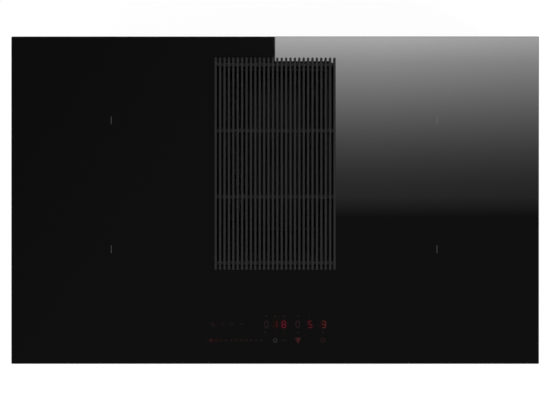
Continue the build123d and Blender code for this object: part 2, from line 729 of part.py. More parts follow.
def filter_frame():
    """Rim with a ledge and grip pocket at the front, and an opening for the basket."""
    floor_z1 = RIM_Z0 + FILTER_SHEET
    frame = plate(FILTER_W, FILTER_D, WELL_R, RIM_Z0, RIM_Z1, y=WELL_Y)
    rim_w = FILTER_W - 2 * RIM_WALL
    rim_d = FILTER_D - 2 * RIM_WALL
    frame -= cut_plate(rim_w, rim_d, RIM_WALL, floor_z1, RIM_Z1, y=WELL_Y)
    frame += block(-rim_w / 2, rim_w / 2, FILTER_Y0 + RIM_WALL, POCKET_Y0, floor_z1, RIM_Z1)
    frame += block(-rim_w / 2, rim_w / 2, POCKET_Y1, BASKET_Y0 - BASKET_FIT, floor_z1, RIM_Z1)
    pocket_x = GRIP_POCKET_W / 2
    undercut_y0 = POCKET_Y0 - GRIP_UNDERCUT
    pocket_z0 = RIM_Z1 - GRIP_POCKET_H
    frame += block(
        -pocket_x - FILTER_SHEET,
        pocket_x + FILTER_SHEET,
        undercut_y0 - FILTER_SHEET,
        BASKET_Y0 - BASKET_FIT,
        pocket_z0 - FILTER_SHEET,
        RIM_Z0,
    )
    frame -= block(-pocket_x, pocket_x, POCKET_Y0, POCKET_Y1, pocket_z0, RIM_Z1)
    frame -= block(-pocket_x, pocket_x, undercut_y0, POCKET_Y0, pocket_z0, RIM_Z0)
    mouth_x = BASKET_TOP_HALF + BASKET_FIT
    mouth_y0 = BASKET_Y0 - BASKET_FIT
    frame -= block(-mouth_x, mouth_x, mouth_y0, BASKET_Y1 + BASKET_FIT, RIM_Z0, floor_z1)
    return frame


def filter_basket():
    """V-shaped trough with windows in its sides, a lip that hangs on the rim, and a bowl."""
    bowl_w = 2 * BASKET_LOW_HALF + 2 * FILTER_SHEET
    bowl_d = BASKET_Y1 - BASKET_Y0
    bowl_y = (BASKET_Y0 + BASKET_Y1) / 2
    bowl_z0 = BASKET_Z0 - BOWL_H
    lip_z0 = RIM_Z0 + FILTER_SHEET
    lip_z1 = lip_z0 + BASKET_LIP_T
    lip_x = BASKET_TOP_HALF + BASKET_LIP
    basket = basket_prism(0, BASKET_Y0, BASKET_Y1)
    basket += block(-BASKET_TOP_HALF, BASKET_TOP_HALF, BASKET_Y0, BASKET_Y1, RIM_Z0, lip_z0)
    basket += block(-lip_x, lip_x, BASKET_Y0, BASKET_Y1 + BASKET_LIP, lip_z0, lip_z1)
    basket += cut_plate(bowl_w, bowl_d, BOWL_R, bowl_z0, BASKET_Z0, y=bowl_y)
    inner_y0 = BASKET_Y0 + FILTER_SHEET
    inner_y1 = BASKET_Y1 - FILTER_SHEET
    mouth = BASKET_TOP_HALF - FILTER_SHEET
    basket -= basket_prism(FILTER_SHEET, inner_y0, inner_y1)
    basket -= block(-mouth, mouth, inner_y0, inner_y1, RIM_Z0, lip_z1)
    basket -= cut_plate(
        bowl_w - 2 * FILTER_SHEET,
        bowl_d - 2 * FILTER_SHEET,
        BOWL_R,
        bowl_z0 + FILTER_SHEET,
        BASKET_Z0 - FILTER_SHEET,
        y=bowl_y,
    )
    low = BASKET_LOW_HALF - FILTER_SHEET
    basket -= block(-low, low, inner_y0 + BOWL_R, inner_y1 - BOWL_R, BASKET_Z0 - FILTER_SHEET, BASKET_Z0)
    window_d = (inner_y1 - inner_y0 - (WINDOW_COUNT + 1) * WINDOW_POST) / WINDOW_COUNT
    z_mid = (RIM_Z0 + BASKET_Z0) / 2
    for i in range(WINDOW_COUNT):
        y = inner_y0 + WINDOW_POST + i * (window_d + WINDOW_POST) + window_d / 2
        hole = Plane((0, y, z_mid), x_dir=(0, 1, 0), z_dir=(1, 0, 0))
        opening = extrude(Rectangle(window_d, WINDOW_H), BASKET_TOP_HALF, both=True)
        basket -= hole * opening
    return basket


def filter_mesh_panel():
    """Slotted filter panel on the basket's right wall, turned to lie on its slope."""
    inner_top = BASKET_TOP_HALF - FILTER_SHEET
    inner_low = BASKET_LOW_HALF - FILTER_SHEET
    slope = Vector(inner_top - inner_low, 0, BASKET_H)
    length = slope.length - 2 * MESH_T
    depth = BASKET_Y1 - BASKET_Y0 - 2 * FILTER_SHEET
    centre = ((inner_top + inner_low) / 2, (BASKET_Y0 + BASKET_Y1) / 2, (RIM_Z0 + BASKET_Z0) / 2)
    lie = Plane(centre, x_dir=(0, 1, 0), z_dir=Vector(-slope.Z, 0, slope.X))
    sheet = Rectangle(depth, length)
    slots = GridLocations(0, (length - MESH_BORDER) / MESH_SLOTS, 1, MESH_SLOTS)
    sheet -= slots * Rectangle(depth - 2 * MESH_BORDER, MESH_SLOT_H)
    return lie * extrude(sheet, MESH_T)


def filter_mesh():
    panel = filter_mesh_panel()
    return [panel, mirror(panel, Plane.YZ)]


# ---------------------------------------------------------------- blower
def scroll_point(x, y, cutoff_r, growth, angle):
    """Point on a scroll whose radius grows evenly with the angle from the cut-off."""
    r = cutoff_r + growth * (angle - CUTOFF_ANGLE) / (360 - CUTOFF_ANGLE)
    return (x + r * math.cos(math.radians(angle)), y + r * math.sin(math.radians(angle)))


def scroll_outline(x, y, cutoff_r, growth, mouth_w, throat_y, mouth_y, chords=False):
    """Inside of a scroll casing in plan, with its outlet to the rear, in arcs or chords."""
    turn = 360 - CUTOFF_ANGLE
    points = [scroll_point(x, y, cutoff_r, growth, CUTOFF_ANGLE + turn * i / 10) for i in range(11)]
    right = x + cutoff_r + growth
    left = right - mouth_w
    walls = [points[-1], (right, mouth_y), (left, mouth_y), (left, throat_y), points[0]]
    if chords:
        return make_face(Polyline(*points, *walls[1:]))
    arcs = [ThreePointArc(*points[2 * i : 2 * i + 3]) for i in range(5)]
    return make_face(Curve() + [*arcs, Polyline(*walls)])


def scroll_tongue():
    """Edge where the scroll and the outlet meet."""
    return (*scroll_point(BLOWER_X, BLOWER_Y, CUTOFF_R, SCROLL_GROWTH, CUTOFF_ANGLE), 0)


def blower_outline(grow=0.0):
    """Inside of the main casing, or that outline grown by a wall."""
    inner = scroll_outline(
        BLOWER_X,
        BLOWER_Y,
        CUTOFF_R,
        SCROLL_GROWTH,
        OUTLET_W - 2 * SCROLL_WALL,
        THROAT_Y,
        SHOULDER_Y - SCROLL_WALL,
    )
    tongue = inner.vertices().sort_by_distance(scroll_tongue())[0]
    inner = fillet(tongue, TONGUE_R)
    return offset(inner, grow, kind=Kind.INTERSECTION) if grow else inner


def lug_places():
    """Centres of the screw lugs round the casing."""
    reach = CUTOFF_R + SCROLL_WALL + LUG_R / 2
    places = [scroll_point(BLOWER_X, BLOWER_Y, reach, SCROLL_GROWTH, angle) for angle in LUG_ANGLES]
    places.append((OUTLET_X0 - LUG_R / 2, SHOULDER_Y - 2 * LUG_R))
    return places


def scroll_housing():
    """Lower casing: floor, scroll wall, screw lugs and the flat spigot for the duct."""
    shell = Pos(0, 0, BASE_Z) * extrude(blower_outline(SCROLL_WALL), COVER_Z0 - BASE_Z)
    lugs = [prism(LUG_R, COVER_Z0 - LUG_H, COVER_Z0, x, y, 6) for x, y in lug_places()]
    spigot_x = (OUTLET_X0 + OUTLET_X1) / 2
    spigot_z0 = BASE_Z + (SCROLL_H - OUTLET_H) / 2
    outer = Plane((spigot_x, SHOULDER_Y, spigot_z0 + OUTLET_H / 2), x_dir=(1, 0, 0), z_dir=(0, 1, 0))
    corners = Rectangle(OUTLET_W, OUTLET_H).vertices()
    spigot = outer * extrude(chamfer(corners, SCROLL_WALL), SPIGOT_L)
    shell = shell.fuse(*lugs, spigot)
    cavity = Pos(0, 0, SCROLL_FLOOR) * extrude(blower_outline(), COVER_Z0 - SCROLL_FLOOR)
    mouth_w = OUTLET_W - 2 * SCROLL_WALL
    mouth_h = OUTLET_H - 2 * SCROLL_WALL
    mouth = extrude(Rectangle(mouth_w, mouth_h), SPIGOT_L + SCROLL_WALL)
    shell = shell - cavity - Pos(0, -SCROLL_WALL, 0) * (outer * mouth)
    return drilled(shell, M3, lug_places(), COVER_Z0 - LUG_H, COVER_Z0)


def scroll_cover():
    """Top plate of the casing with the rounded inlet bell over the impeller."""
    cover = Pos(0, 0, COVER_Z0) * extrude(blower_outline(SCROLL_WALL), SCROLL_WALL)
    lugs = [prism(LUG_R, COVER_Z0, SCROLL_Z1, x, y, 6) for x, y in lug_places()]
    cover = cover.fuse(*lugs)
    lip_z = COVER_Z0 - EYE_LIP
    cover += prism(EYE_R + SCROLL_WALL, lip_z, COVER_Z0, BLOWER_X, BLOWER_Y, DRUM_SIDES)
    cover -= prism(EYE_R, lip_z, SCROLL_Z1, BLOWER_X, BLOWER_Y, DRUM_SIDES)
    eye = (BLOWER_X, BLOWER_Y, SCROLL_Z1)
    mouth = cover.faces().sort_by(Axis.Z)[-1].inner_wires().sort_by_distance(eye)[0]
    cover = chamfer(mouth.edges(), EYE_LIP, EYE_LIP_SLOPE)
    return drilled(cover, M3, lug_places(), COVER_Z0, SCROLL_Z1)


def plenum_outline():
    """Plan of the plenum: a straight flange towards the chamber and a round end."""
    flange = Pos(PLENUM_X0 + PLENUM_WALL, (PLENUM_Y0 + PLENUM_Y1) / 2) * Rectangle(
        2 * PLENUM_WALL, PLENUM_Y1 - PLENUM_Y0
    )
    ring = Pos(BLOWER_X, BLOWER_Y) * RegularPolygon(PLENUM_R, 2 * DRUM_SIDES)
    return make_hull(flange.edges() + ring.edges())


def plenum_duct():
    """Flat duct from the chamber's window to the inlet bell, hung from the tray."""
    outline = plenum_outline()
    duct = Pos(0, 0, SCROLL_Z1) * extrude(outline, PLENUM_Z1 - SCROLL_Z1)
    cavity_z0 = SCROLL_Z1 + PLENUM_WALL
    cavity_h = PLENUM_Z1 - PLENUM_WALL - cavity_z0
    duct -= Pos(0, 0, cavity_z0) * extrude(offset(outline, -PLENUM_WALL), cavity_h)
    duct -= prism(EYE_R + 2 * EYE_LIP, SCROLL_Z1, cavity_z0, BLOWER_X, BLOWER_Y, DRUM_SIDES)
    duct -= air_window(PLENUM_X0, PLENUM_X0 + PLENUM_WALL)
    bosses = [prism(BOSS_R, PLENUM_Z1 - LUG_H, TRAY_Z0, x, y, 8) for x, y in PLENUM_SCREWS]
    duct = duct.fuse(*bosses)
    return drilled(duct, M4, PLENUM_SCREWS, PLENUM_Z1 - LUG_H, TRAY_Z0)


def plenum_gasket():
    frame = block(CHAMBER_W / 2, PLENUM_X0, PLENUM_Y0, PLENUM_Y1, SCROLL_Z1, PLENUM_Z1)
    return frame - air_window(CHAMBER_W / 2, PLENUM_X0)


def housing_screws():
    """Screws that hang the chamber and the plenum, and those that close the casing."""
    hang = Pos(0, 0, FLOOR_Z) * screw(M4, TRAY_SHEET + CHAMBER_WALL)
    boss = Pos(0, 0, FLOOR_Z) * screw(M4, TRAY_SHEET + LUG_H)
    close = Pos(0, 0, SCROLL_Z1) * screw(M3, SCROLL_WALL + LUG_H)
    screws = [Pos(x, y, 0) * hang for x, y in CHAMBER_SCREWS]
    screws += [Pos(x, y, 0) * boss for x, y in PLENUM_SCREWS]
    screws += [Pos(x, y, 0) * close for x, y in lug_places()]
    return screws


def motor_places():
    """Centres of the three rubber mounts under the motor plate."""
    places = []
    for i in range(3):
        angle = math.radians(90 + 120 * i)
        places.append(
            (
                BLOWER_X + GROMMET_CIRCLE_R * math.cos(angle),
                BLOWER_Y + GROMMET_CIRCLE_R * math.sin(angle),
            )
        )
    return places


def motor_plate():
    return prism(MOTOR_PLATE_R, MOTOR_PLATE_Z0, STATOR_Z0, BLOWER_X, BLOWER_Y, 6)


def motor_grommets():
    """Rubber mounts bonded to the casing's floor and to the motor plate."""
    return [prism(GROMMET_R, SCROLL_FLOOR, MOTOR_PLATE_Z0, x, y, 8) for x, y in motor_places()]


def motor_stator():
    """Bearing tube with its flange, and the pole stack pressed on it."""
    stack_z0 = CUP_Z0 + STATOR_RISE
    pole_angle = 360 / STATOR_POLES
    shoe_r = STATOR_R * math.cos(math.radians(pole_angle / 2))
    shoe_w = 2 * STATOR_R * math.sin(math.radians(pole_angle / 2)) - 2 * MAGNET_T
    arm = Pos((TUBE_R + shoe_r) / 2, 0) * Rectangle(shoe_r - TUBE_R, shoe_w / 2)
    shoe = Pos(shoe_r - MAGNET_T / 2, 0) * Rectangle(MAGNET_T, shoe_w)
    poles = RegularPolygon(TUBE_R + MAGNET_T, STATOR_POLES)
    poles += [Rot(0, 0, pole_angle * i) * (arm + shoe) for i in range(STATOR_POLES)]
    body = prism(STATOR_FLANGE_R, STATOR_Z0, STATOR_Z0 + STATOR_FLANGE_T, sides=PIN_SIDES)
    body += prism(TUBE_R, STATOR_Z0, TUBE_Z1)
    body += Pos(0, 0, stack_z0) * extrude(poles, STATOR_H)
    body -= prism(BEARING_R, STATOR_Z0, TUBE_Z1)
    return Pos(BLOWER_X, BLOWER_Y, 0) * body


def motor_bearing(z0):
    """Ball bearing as one ring: it fills the tube and runs on the shaft."""
    z1 = z0 + BEARING_H
    return prism(BEARING_R, z0, z1, BLOWER_X, BLOWER_Y) - shaft_bore(z0, z1)


def motor_bearings():
    return [motor_bearing(STATOR_Z0), motor_bearing(TUBE_Z1 - BEARING_H)]


def shaft_bore(z0, z1):
    """Space of a hole for the shaft, with its running clearance."""
    return rod(SHAFT_R + SHAFT_FIT, z0, z1, BLOWER_X, BLOWER_Y)


def motor_shaft():
    return rod(SHAFT_R, STATOR_Z0 + SHAFT_FIT, CUP_Z1 + SHAFT_END, BLOWER_X, BLOWER_Y)


def rotor_cup():
    """Deep drawn cup of the outer rotor, pierced at the shaft."""
    cup = prism(CUP_R, CUP_Z0, CUP_Z1, sides=DRUM_SIDES)
    cup -= prism(CUP_INNER_R, CUP_Z0, CUP_Z1 - CUP_T, sides=DRUM_SIDES)
    return Pos(BLOWER_X, BLOWER_Y, 0) * cup - shaft_bore(CUP_Z1 - CUP_T, CUP_Z1)


def rotor_magnet():
    inner = CUP_INNER_R - MAGNET_T
    return prism_ring(CUP_INNER_R, inner, CUP_Z0, TUBE_Z1, BLOWER_X, BLOWER_Y, DRUM_SIDES)


def impeller_blade(r0, r1, sweep, bow, thickness):
    """Plan of one forward-curved blade between two radii, folded once."""
    angle = math.radians(sweep)
    tip_x = r1 * math.cos(angle)
    tip_y = r1 * math.sin(angle)
    fold_x = (r0 + tip_x) / 2 + bow
    fold_y = tip_y / 2 - bow
    face = [(r0, 0), (fold_x, fold_y), (tip_x, tip_y)]
    back = [(x, y + thickness) for x, y in reversed(face)]
    return make_face(Polyline(*face, *back, close=True))


def squirrel_cage(r0, r1, count, sweep, bow, thickness, z0, z1):
    """Ring of blades standing from z0 to z1."""
    blade = Pos(0, 0, z0) * extrude(impeller_blade(r0, r1, sweep, bow, thickness), z1 - z0)
    return [Rot(0, 0, 360 * i / count) * blade for i in range(count)]


def impeller():
    """Squirrel cage on a hub that is pulled over the rotor cup."""
    t = IMPELLER_SHEET
    hub_r = CUP_R + t
    hub = prism(hub_r, IMPELLER_Z0, CUP_Z1 + t, sides=DRUM_SIDES)
    hub = chamfer(hub.faces().sort_by(Axis.Z)[-1].edges(), t)
    floor = prism(IMPELLER_R, IMPELLER_Z0, IMPELLER_Z0 + t, sides=DRUM_SIDES)
    ring = prism_ring(IMPELLER_R, BLADE_R0 + t, IMPELLER_Z1 - t, IMPELLER_Z1, sides=DRUM_SIDES)
    blades = squirrel_cage(
        BLADE_R0,
        IMPELLER_R - BLADE_T,
        BLADE_COUNT,
        BLADE_SWEEP,
        BLADE_BOW,
        BLADE_T,
        IMPELLER_Z0 + t,
        IMPELLER_Z1 - t,
    )
    wheel = hub.fuse(floor, ring, *blades)
    wheel -= prism(CUP_R, IMPELLER_Z0, CUP_Z1, sides=DRUM_SIDES)
    return Pos(BLOWER_X, BLOWER_Y, 0) * wheel - shaft_bore(CUP_Z1, CUP_Z1 + t)


# ---------------------------------------------------------------- induction zones
ZONES = {
    "front_left": (-1, ZONE_FRONT_Y),
    "front_right": (1, ZONE_FRONT_Y),
    "rear_left": (-1, ZONE_REAR_Y),
    "rear_right": (1, ZONE_REAR_Y),
}


def coil_winding(x, y):
    """Flat round litz winding with a round eye."""
    return prism_ring(COIL_R, COIL_EYE_R, COIL_Z0, MICA_Z0, x, y, COIL_SIDES)


def ferrite_star(x, y):
    """Bars laid out as a star under the winding."""
    bar = Pos(FERRITE_START_R + FERRITE_L / 2, 0, 0) * Box(FERRITE_L, FERRITE_W, FERRITE_T)
    height = FERRITE_Z0 + FERRITE_T / 2
    step = 360 / FERRITE_COUNT
    return [Pos(x, y, height) * Rot(0, 0, step * i) * bar for i in range(FERRITE_COUNT)]


def coil_carrier(x, y):
    """Eight-sided aluminium carrier with air slots between the ferrite bars."""
    sheet = RegularPolygon(COIL_R, 8, major_radius=False)
    sheet -= Rot(0, 0, -180 / 8) * RegularPolygon(SENSOR_R + SCREW_FIT, 6, major_radius=False)
    slot_l = COIL_R - CARRIER_SLOT_START_R - CARRIER_SLOT_MARGIN
    slots = PolarLocations(CARRIER_SLOT_START_R + slot_l / 2, 4, start_angle=180 / 8)
    sheet -= slots * Rectangle(slot_l, CARRIER_SLOT_W)
    return Pos(x, y, CARRIER_Z0) * Rot(0, 0, 180 / 8) * extrude(sheet, CARRIER_T)


def mica_sheet(x, y):
    return Pos(x, y, 0) * Rot(0, 0, 180 / 8) * prism(COIL_R, MICA_Z0, GLASS_Z0, sides=8)


def temperature_sensor(x, y):
    """Sensor post through the carrier and the eye of the winding, up to the mica."""
    post = prism(SENSOR_R, CARRIER_Z0, MICA_Z0, sides=6)
    return Pos(x, y, 0) * (post + prism(SENSOR_FOOT_R, SHELF_Z1, CARRIER_Z0, sides=6))


def coil_buffers(x, y):
    places = GridLocations(BUFFER_STEP, BUFFER_STEP, 2, 2)
    pad = Box(BUFFER_W, BUFFER_W, BUFFER_H)
    return [Pos(x, y, SHELF_Z1 + BUFFER_H / 2) * place * pad for place in places]


def coil_shelf(side):
    """Sheet shelf with turned-down rims and four legs standing on the tray's floor."""
    rim_z0 = SHELF_Z0 - SHELF_RIM
    sheet = SHELF_SHEET
    shelf = block(SHELF_X0, SHELF_X1, SHELF_Y0, SHELF_Y1, rim_z0, SHELF_Z1)
    shelf -= block(
        SHELF_X0 + sheet, SHELF_X1 - sheet, SHELF_Y0 + sheet, SHELF_Y1 - sheet, rim_z0, SHELF_Z0
    )
    for x0 in (SHELF_X0, SHELF_X1 - SHELF_LEG_W):
        for edge, inward in ((SHELF_Y0, 1), (SHELF_Y1, -1)):
            leg = sorted((edge, edge + inward * sheet))
            foot = sorted((edge, edge + inward * SHELF_FOOT))
            shelf += block(x0, x0 + SHELF_LEG_W, *leg, FLOOR_Z, SHELF_Z0)
            shelf += block(x0, x0 + SHELF_LEG_W, *foot, FLOOR_Z, FLOOR_Z + sheet)
    for zone_y in (ZONE_FRONT_Y, ZONE_REAR_Y):
        hole = Box(BUFFER_STEP - 2 * BUFFER_W, COIL_R, sheet)
        bridge = Box(BUFFER_STEP, 3 * SENSOR_R, sheet)
        shelf -= Pos(ZONE_X, zone_y, SHELF_Z1 - sheet / 2) * (hole - bridge)
    return mirrored(shelf, side)


# ---------------------------------------------------------------- power electronics
def board_tray(side):
    """Plastic carrier frame with corner posts under the power board."""
    wall = BOARD_TRAY_WALL
    x0 = BOARD_X - BOARD_W / 2
    x1 = BOARD_X + BOARD_W / 2
    y0 = BOARD_Y - BOARD_D / 2
    y1 = BOARD_Y + BOARD_D / 2
    frame = block(x0 - wall, x1 + wall, y0 - wall, y1 + wall, FLOOR_Z, BOARD_Z1)
    frame -= block(x0, x1, y0, y1, BOARD_Z0, BOARD_Z1)
    frame -= block(x0 + wall, x1 - wall, y0 + wall, y1 - wall, FLOOR_Z, BOARD_Z0)
    return mirrored(frame, side)


def power_board(side):
    board = Pos(BOARD_X, BOARD_Y, (BOARD_Z0 + BOARD_Z1) / 2) * Box(BOARD_W, BOARD_D, BOARD_T)
    return mirrored(board, side)


def heat_sink(side):
    """Extruded sink along Y, fins upwards, in line with the fan's mouth."""
    base = Pos(0, HEAT_SINK_BASE / 2) * Rectangle(HEAT_SINK_W, HEAT_SINK_BASE)
    step = (HEAT_SINK_W - FIN_T) / (FIN_COUNT - 1)
    fin = Pos(0, HEAT_SINK_H / 2) * Rectangle(FIN_T, HEAT_SINK_H)
    profile = base + [Pos((i - (FIN_COUNT - 1) / 2) * step, 0) * fin for i in range(FIN_COUNT)]
    start = Plane((HEAT_SINK_X, BOARD_Y + HEAT_SINK_L / 2, BOARD_Z1), x_dir=(1, 0, 0), z_dir=(0, -1, 0))
    return mirrored(start * extrude(profile, HEAT_SINK_L), side)


def power_transistors():
    """Flat packages standing against the inner side of each heat sink."""
    x1 = HEAT_SINK_X - HEAT_SINK_W / 2
    parts = []
    for side in (-1, 1):
        for i in range(TRANSISTOR_COUNT):
            y = BOARD_Y + (i - (TRANSISTOR_COUNT - 1) / 2) * TRANSISTOR_PITCH
            half = TRANSISTOR_W / 2
            body = block(x1 - TRANSISTOR_T, x1, y - half, y + half, BOARD_Z1, BOARD_Z1 + TRANSISTOR_H)
            parts.append(mirrored(body, side))
    return parts


def board_capacitors():
    """Box-shaped film capacitors in a row on each power board."""
    parts = []
    for side in (-1, 1):
        for i in range(CAPACITOR_COUNT):
            y = BOARD_Y + (i - (CAPACITOR_COUNT - 1) / 2) * CAPACITOR_PITCH
            body = Box(CAPACITOR_W, CAPACITOR_L, CAPACITOR_H)
            parts.append(mirrored(Pos(CAPACITOR_X, y, BOARD_Z1 + CAPACITOR_H / 2) * body, side))
    return parts


def fan_outline():
    return scroll_outline(
        FAN_X,
        FAN_Y,
        FAN_CUTOFF_R,
        FAN_GROWTH,
        FAN_MOUTH_W,
        FAN_Y + FAN_THROAT_REACH,
        FAN_Y + FAN_MOUTH_REACH,
        chords=True,
    )


FAN_Z1 = FLOOR_Z + FAN_H
FAN_BOSS_Z0 = FAN_Z1 - 3 * FAN_WALL


def fan_housing(side):
    """Small snail housing: inlet in its floor, mouth to the rear, pin boss under its roof."""
    outline = fan_outline()
    outer = offset(outline, FAN_WALL, kind=Kind.INTERSECTION)
    shell = Pos(0, 0, FLOOR_Z) * extrude(outer, FAN_H)
    shell -= Pos(0, 0, FLOOR_Z + FAN_WALL) * extrude(outline, FAN_H - 2 * FAN_WALL)
    right = FAN_X + FAN_CUTOFF_R + FAN_GROWTH
    mouth_y = FAN_Y + FAN_MOUTH_REACH
    shell -= block(
        right - FAN_MOUTH_W,
        right,
        mouth_y,
        mouth_y + FAN_WALL,
        FLOOR_Z + FAN_WALL,
        FAN_Z1 - FAN_WALL,
    )
    shell -= prism(FAN_EYE_R, FLOOR_Z, FLOOR_Z + FAN_WALL, FAN_X, FAN_Y)
    shell += prism(FAN_BOSS_R, FAN_BOSS_Z0, FAN_Z1 - FAN_WALL, FAN_X, FAN_Y, 8)
    shell -= rod(FAN_PIN_R + FAN_PIN_FIT, FAN_BOSS_Z0, FAN_Z1 - FAN_WALL, FAN_X, FAN_Y)
    return mirrored(shell, side)


def fan_rotor(side):
    """Small squirrel cage on a pin that runs in the housing's boss."""
    disc_z1 = FAN_BOSS_Z0 - FAN_WALL
    disc_z0 = disc_z1 - FAN_WALL
    cage_z0 = FLOOR_Z + 2 * FAN_WALL
    rotor = prism(FAN_BLADE_R1, disc_z0, disc_z1)
    rotor += rod(FAN_PIN_R, disc_z1, FAN_Z1 - FAN_WALL - FAN_PIN_FIT)
    rotor += prism(FAN_BOSS_R * 2, disc_z0 - 3 * FAN_WALL, disc_z0)
    ring = prism_ring(FAN_BLADE_R1, FAN_BLADE_R0 + FAN_WALL, cage_z0, cage_z0 + FAN_WALL)
    blades = squirrel_cage(
        FAN_BLADE_R0,
        FAN_BLADE_R1 - BLADE_T,
        FAN_BLADE_COUNT,
        BLADE_SWEEP,
        FAN_BLADE_BOW,
        BLADE_T,
        cage_z0 + FAN_WALL,
        disc_z0,
    )
    return mirrored(Pos(FAN_X, FAN_Y, 0) * rotor.fuse(ring, *blades), side)


# ---------------------------------------------------------------- mains inlet
def mains_filter_board():
    """Filter board on four posts, with two chokes and a relay."""
    board_z0 = FLOOR_Z + BOARD_RISE
    top = board_z0 + BOARD_T
    centre = Pos(FILTER_BOARD_X, FILTER_BOARD_Y, (board_z0 + top) / 2)
    board = centre * Box(FILTER_BOARD_W, FILTER_BOARD_D, BOARD_T)
    corners = GridLocations(FILTER_BOARD_W - 2 * POST_W, FILTER_BOARD_D - 2 * POST_W, 2, 2)
    for corner in corners:
        post = Pos(FILTER_BOARD_X, FILTER_BOARD_Y, FLOOR_Z + BOARD_RISE / 2) * corner
        board += post * Box(POST_W, POST_W, BOARD_RISE)
    for step in (-1, 1):
        x = FILTER_BOARD_X + step * (CHOKE_R + CHOKE_GAP / 2)
        board += prism_ring(CHOKE_R, CHOKE_BORE_R, top, top + CHOKE_H, x, FILTER_BOARD_Y)
    relay_x = FILTER_BOARD_X + FILTER_BOARD_W / 2 - RELAY_W
    board += Pos(relay_x, FILTER_BOARD_Y, top + RELAY_H / 2) * Box(RELAY_W, RELAY_D, RELAY_H)
    return board


def terminal_block():
    """Row of screw terminals under the tray's floor."""
    z1 = TRAY_Z0
    z0 = z1 - TERMINAL_H
    body = Pos(TERMINAL_X, TERMINAL_Y, (z0 + z1) / 2) * Box(TERMINAL_W, TERMINAL_D, TERMINAL_H)
    pitch = TERMINAL_W / TERMINAL_WAYS
    for i in range(TERMINAL_WAYS):
        x = TERMINAL_X + (i - (TERMINAL_WAYS - 1) / 2) * pitch
        body -= prism(TERMINAL_ENTRY_H / 2, z0, z0 + TERMINAL_SCREW_DEPTH, x, TERMINAL_Y, 6)
        entry = Box(TERMINAL_ENTRY_H, TERMINAL_ENTRY_L, TERMINAL_ENTRY_H)
        entry_y = TERMINAL_Y + (TERMINAL_D - TERMINAL_ENTRY_L) / 2
        body -= Pos(x, entry_y, z1 - TERMINAL_H / 2 + CAVITY_LIFT) * entry
    return body


COVER_Y = TERMINAL_Y
COVER_FACE_Y = COVER_Y + COVER_D / 2
GLAND_Z = TRAY_Z0 - COVER_H / 2


def terminal_cover():
    """Open-topped plastic box screwed under the tray, with the gland's hole in its rear."""
    z0 = TRAY_Z0 - COVER_H
    box = cut_plate(COVER_W, COVER_D, 2 * COVER_WALL, z0, TRAY_Z0, TERMINAL_X, COVER_Y)
    box = chamfer(box.faces().sort_by(Axis.Z)[0].edges(), COVER_EDGE)
    inner_w = COVER_W - 2 * COVER_WALL
    inner_d = COVER_D - 2 * COVER_WALL
    box -= cut_plate(inner_w, inner_d, COVER_WALL, z0 + COVER_WALL, TRAY_Z0, TERMINAL_X, COVER_Y)
    for x, y in COVER_SCREWS:
        box += prism(BOSS_R - COVER_WALL, z0 + COVER_WALL, TRAY_Z0, x, y, 8)
    rear = Plane((TERMINAL_X, COVER_FACE_Y, GLAND_Z), x_dir=(1, 0, 0), z_dir=(0, 1, 0))
    box -= rear * prism(GLAND_R, -2 * COVER_WALL, COVER_WALL)
    return drilled(box, M3, COVER_SCREWS, z0 + COVER_WALL, TRAY_Z0)


def cable_gland():
    """Gland body through the cover's rear wall, with a hexagonal nut outside."""
    nut = extrude(RegularPolygon(GLAND_NUT_R, 6), GLAND_NUT_T)
    nut = chamfer(nut.faces().sort_by(Axis.Z)[-1].edges(), 1)
    body = prism(GLAND_R, GLAND_NUT_T - GLAND_L, 0)
    body = nut + body - Cylinder(GLAND_BORE_R, 4 * GLAND_L)
    rear = Plane((TERMINAL_X, COVER_FACE_Y, GLAND_Z), x_dir=(1, 0, 0), z_dir=(0, 1, 0))
    return rear * body


def cover_screws():
    """Screws up through the tray's floor bosses of the terminal cover."""
    down = Pos(0, 0, FLOOR_Z) * screw(M3, TRAY_SHEET + LUG_H)
    return [Pos(x, y, 0) * down for x, y in COVER_SCREWS]


# ---------------------------------------------------------------- touch controls
def control_housing():
    """Shallow plastic box under the glass, on four posts from the tray's floor."""
    corner = 2 * CONTROL_WALL
    box = cut_plate(CONTROL_W, CONTROL_D, corner, CONTROL_Z0, GLASS_Z0, CONTROL_X, CONTROL_Y)
    inner_w = CONTROL_W - 2 * CONTROL_WALL
    inner_d = CONTROL_D - 2 * CONTROL_WALL
    inner_z0 = CONTROL_Z0 + CONTROL_WALL
    box -= block(
        CONTROL_X - inner_w / 2,
        CONTROL_X + inner_w / 2,
        CONTROL_Y - inner_d / 2,
        CONTROL_Y + inner_d / 2,
        inner_z0,
        GLASS_Z0,
    )
    rail = Box(CONTROL_RAIL, inner_d, CONTROL_RISE)
    for side in (-1, 1):
        rail_x = CONTROL_X + side * (inner_w - CONTROL_RAIL) / 2
        box += Pos(rail_x, CONTROL_Y, inner_z0 + CONTROL_RISE / 2) * rail
        for step in (-1, 1):
            x = CONTROL_X + side * (CONTROL_W / 2 - 2 * BOSS_R)
            y = CONTROL_Y + step * (CONTROL_D / 2 - 2 * BOSS_R)
            box += prism(BOSS_R, FLOOR_Z, CONTROL_Z0, x, y, 8)
    return box


def control_board():
    w = CONTROL_W - 2 * CONTROL_WALL - 2 * CONTROL_FIT
    d = CONTROL_D - 2 * CONTROL_WALL - 2 * CONTROL_FIT
    return Pos(CONTROL_X, CONTROL_Y, (CONTROL_BOARD_Z0 + CONTROL_BOARD_Z1) / 2) * Box(w, d, BOARD_T)


def display_modules():
    """Seven-segment blocks, one per digit."""
    height = GLASS_Z0 - SCREW_FIT - CONTROL_BOARD_Z1
    module = Box(DIGIT_W, DIGIT_D, height)
    return [Pos(x, DIGIT_Y, CONTROL_BOARD_Z1 + height / 2) * module for x in DIGIT_XS]


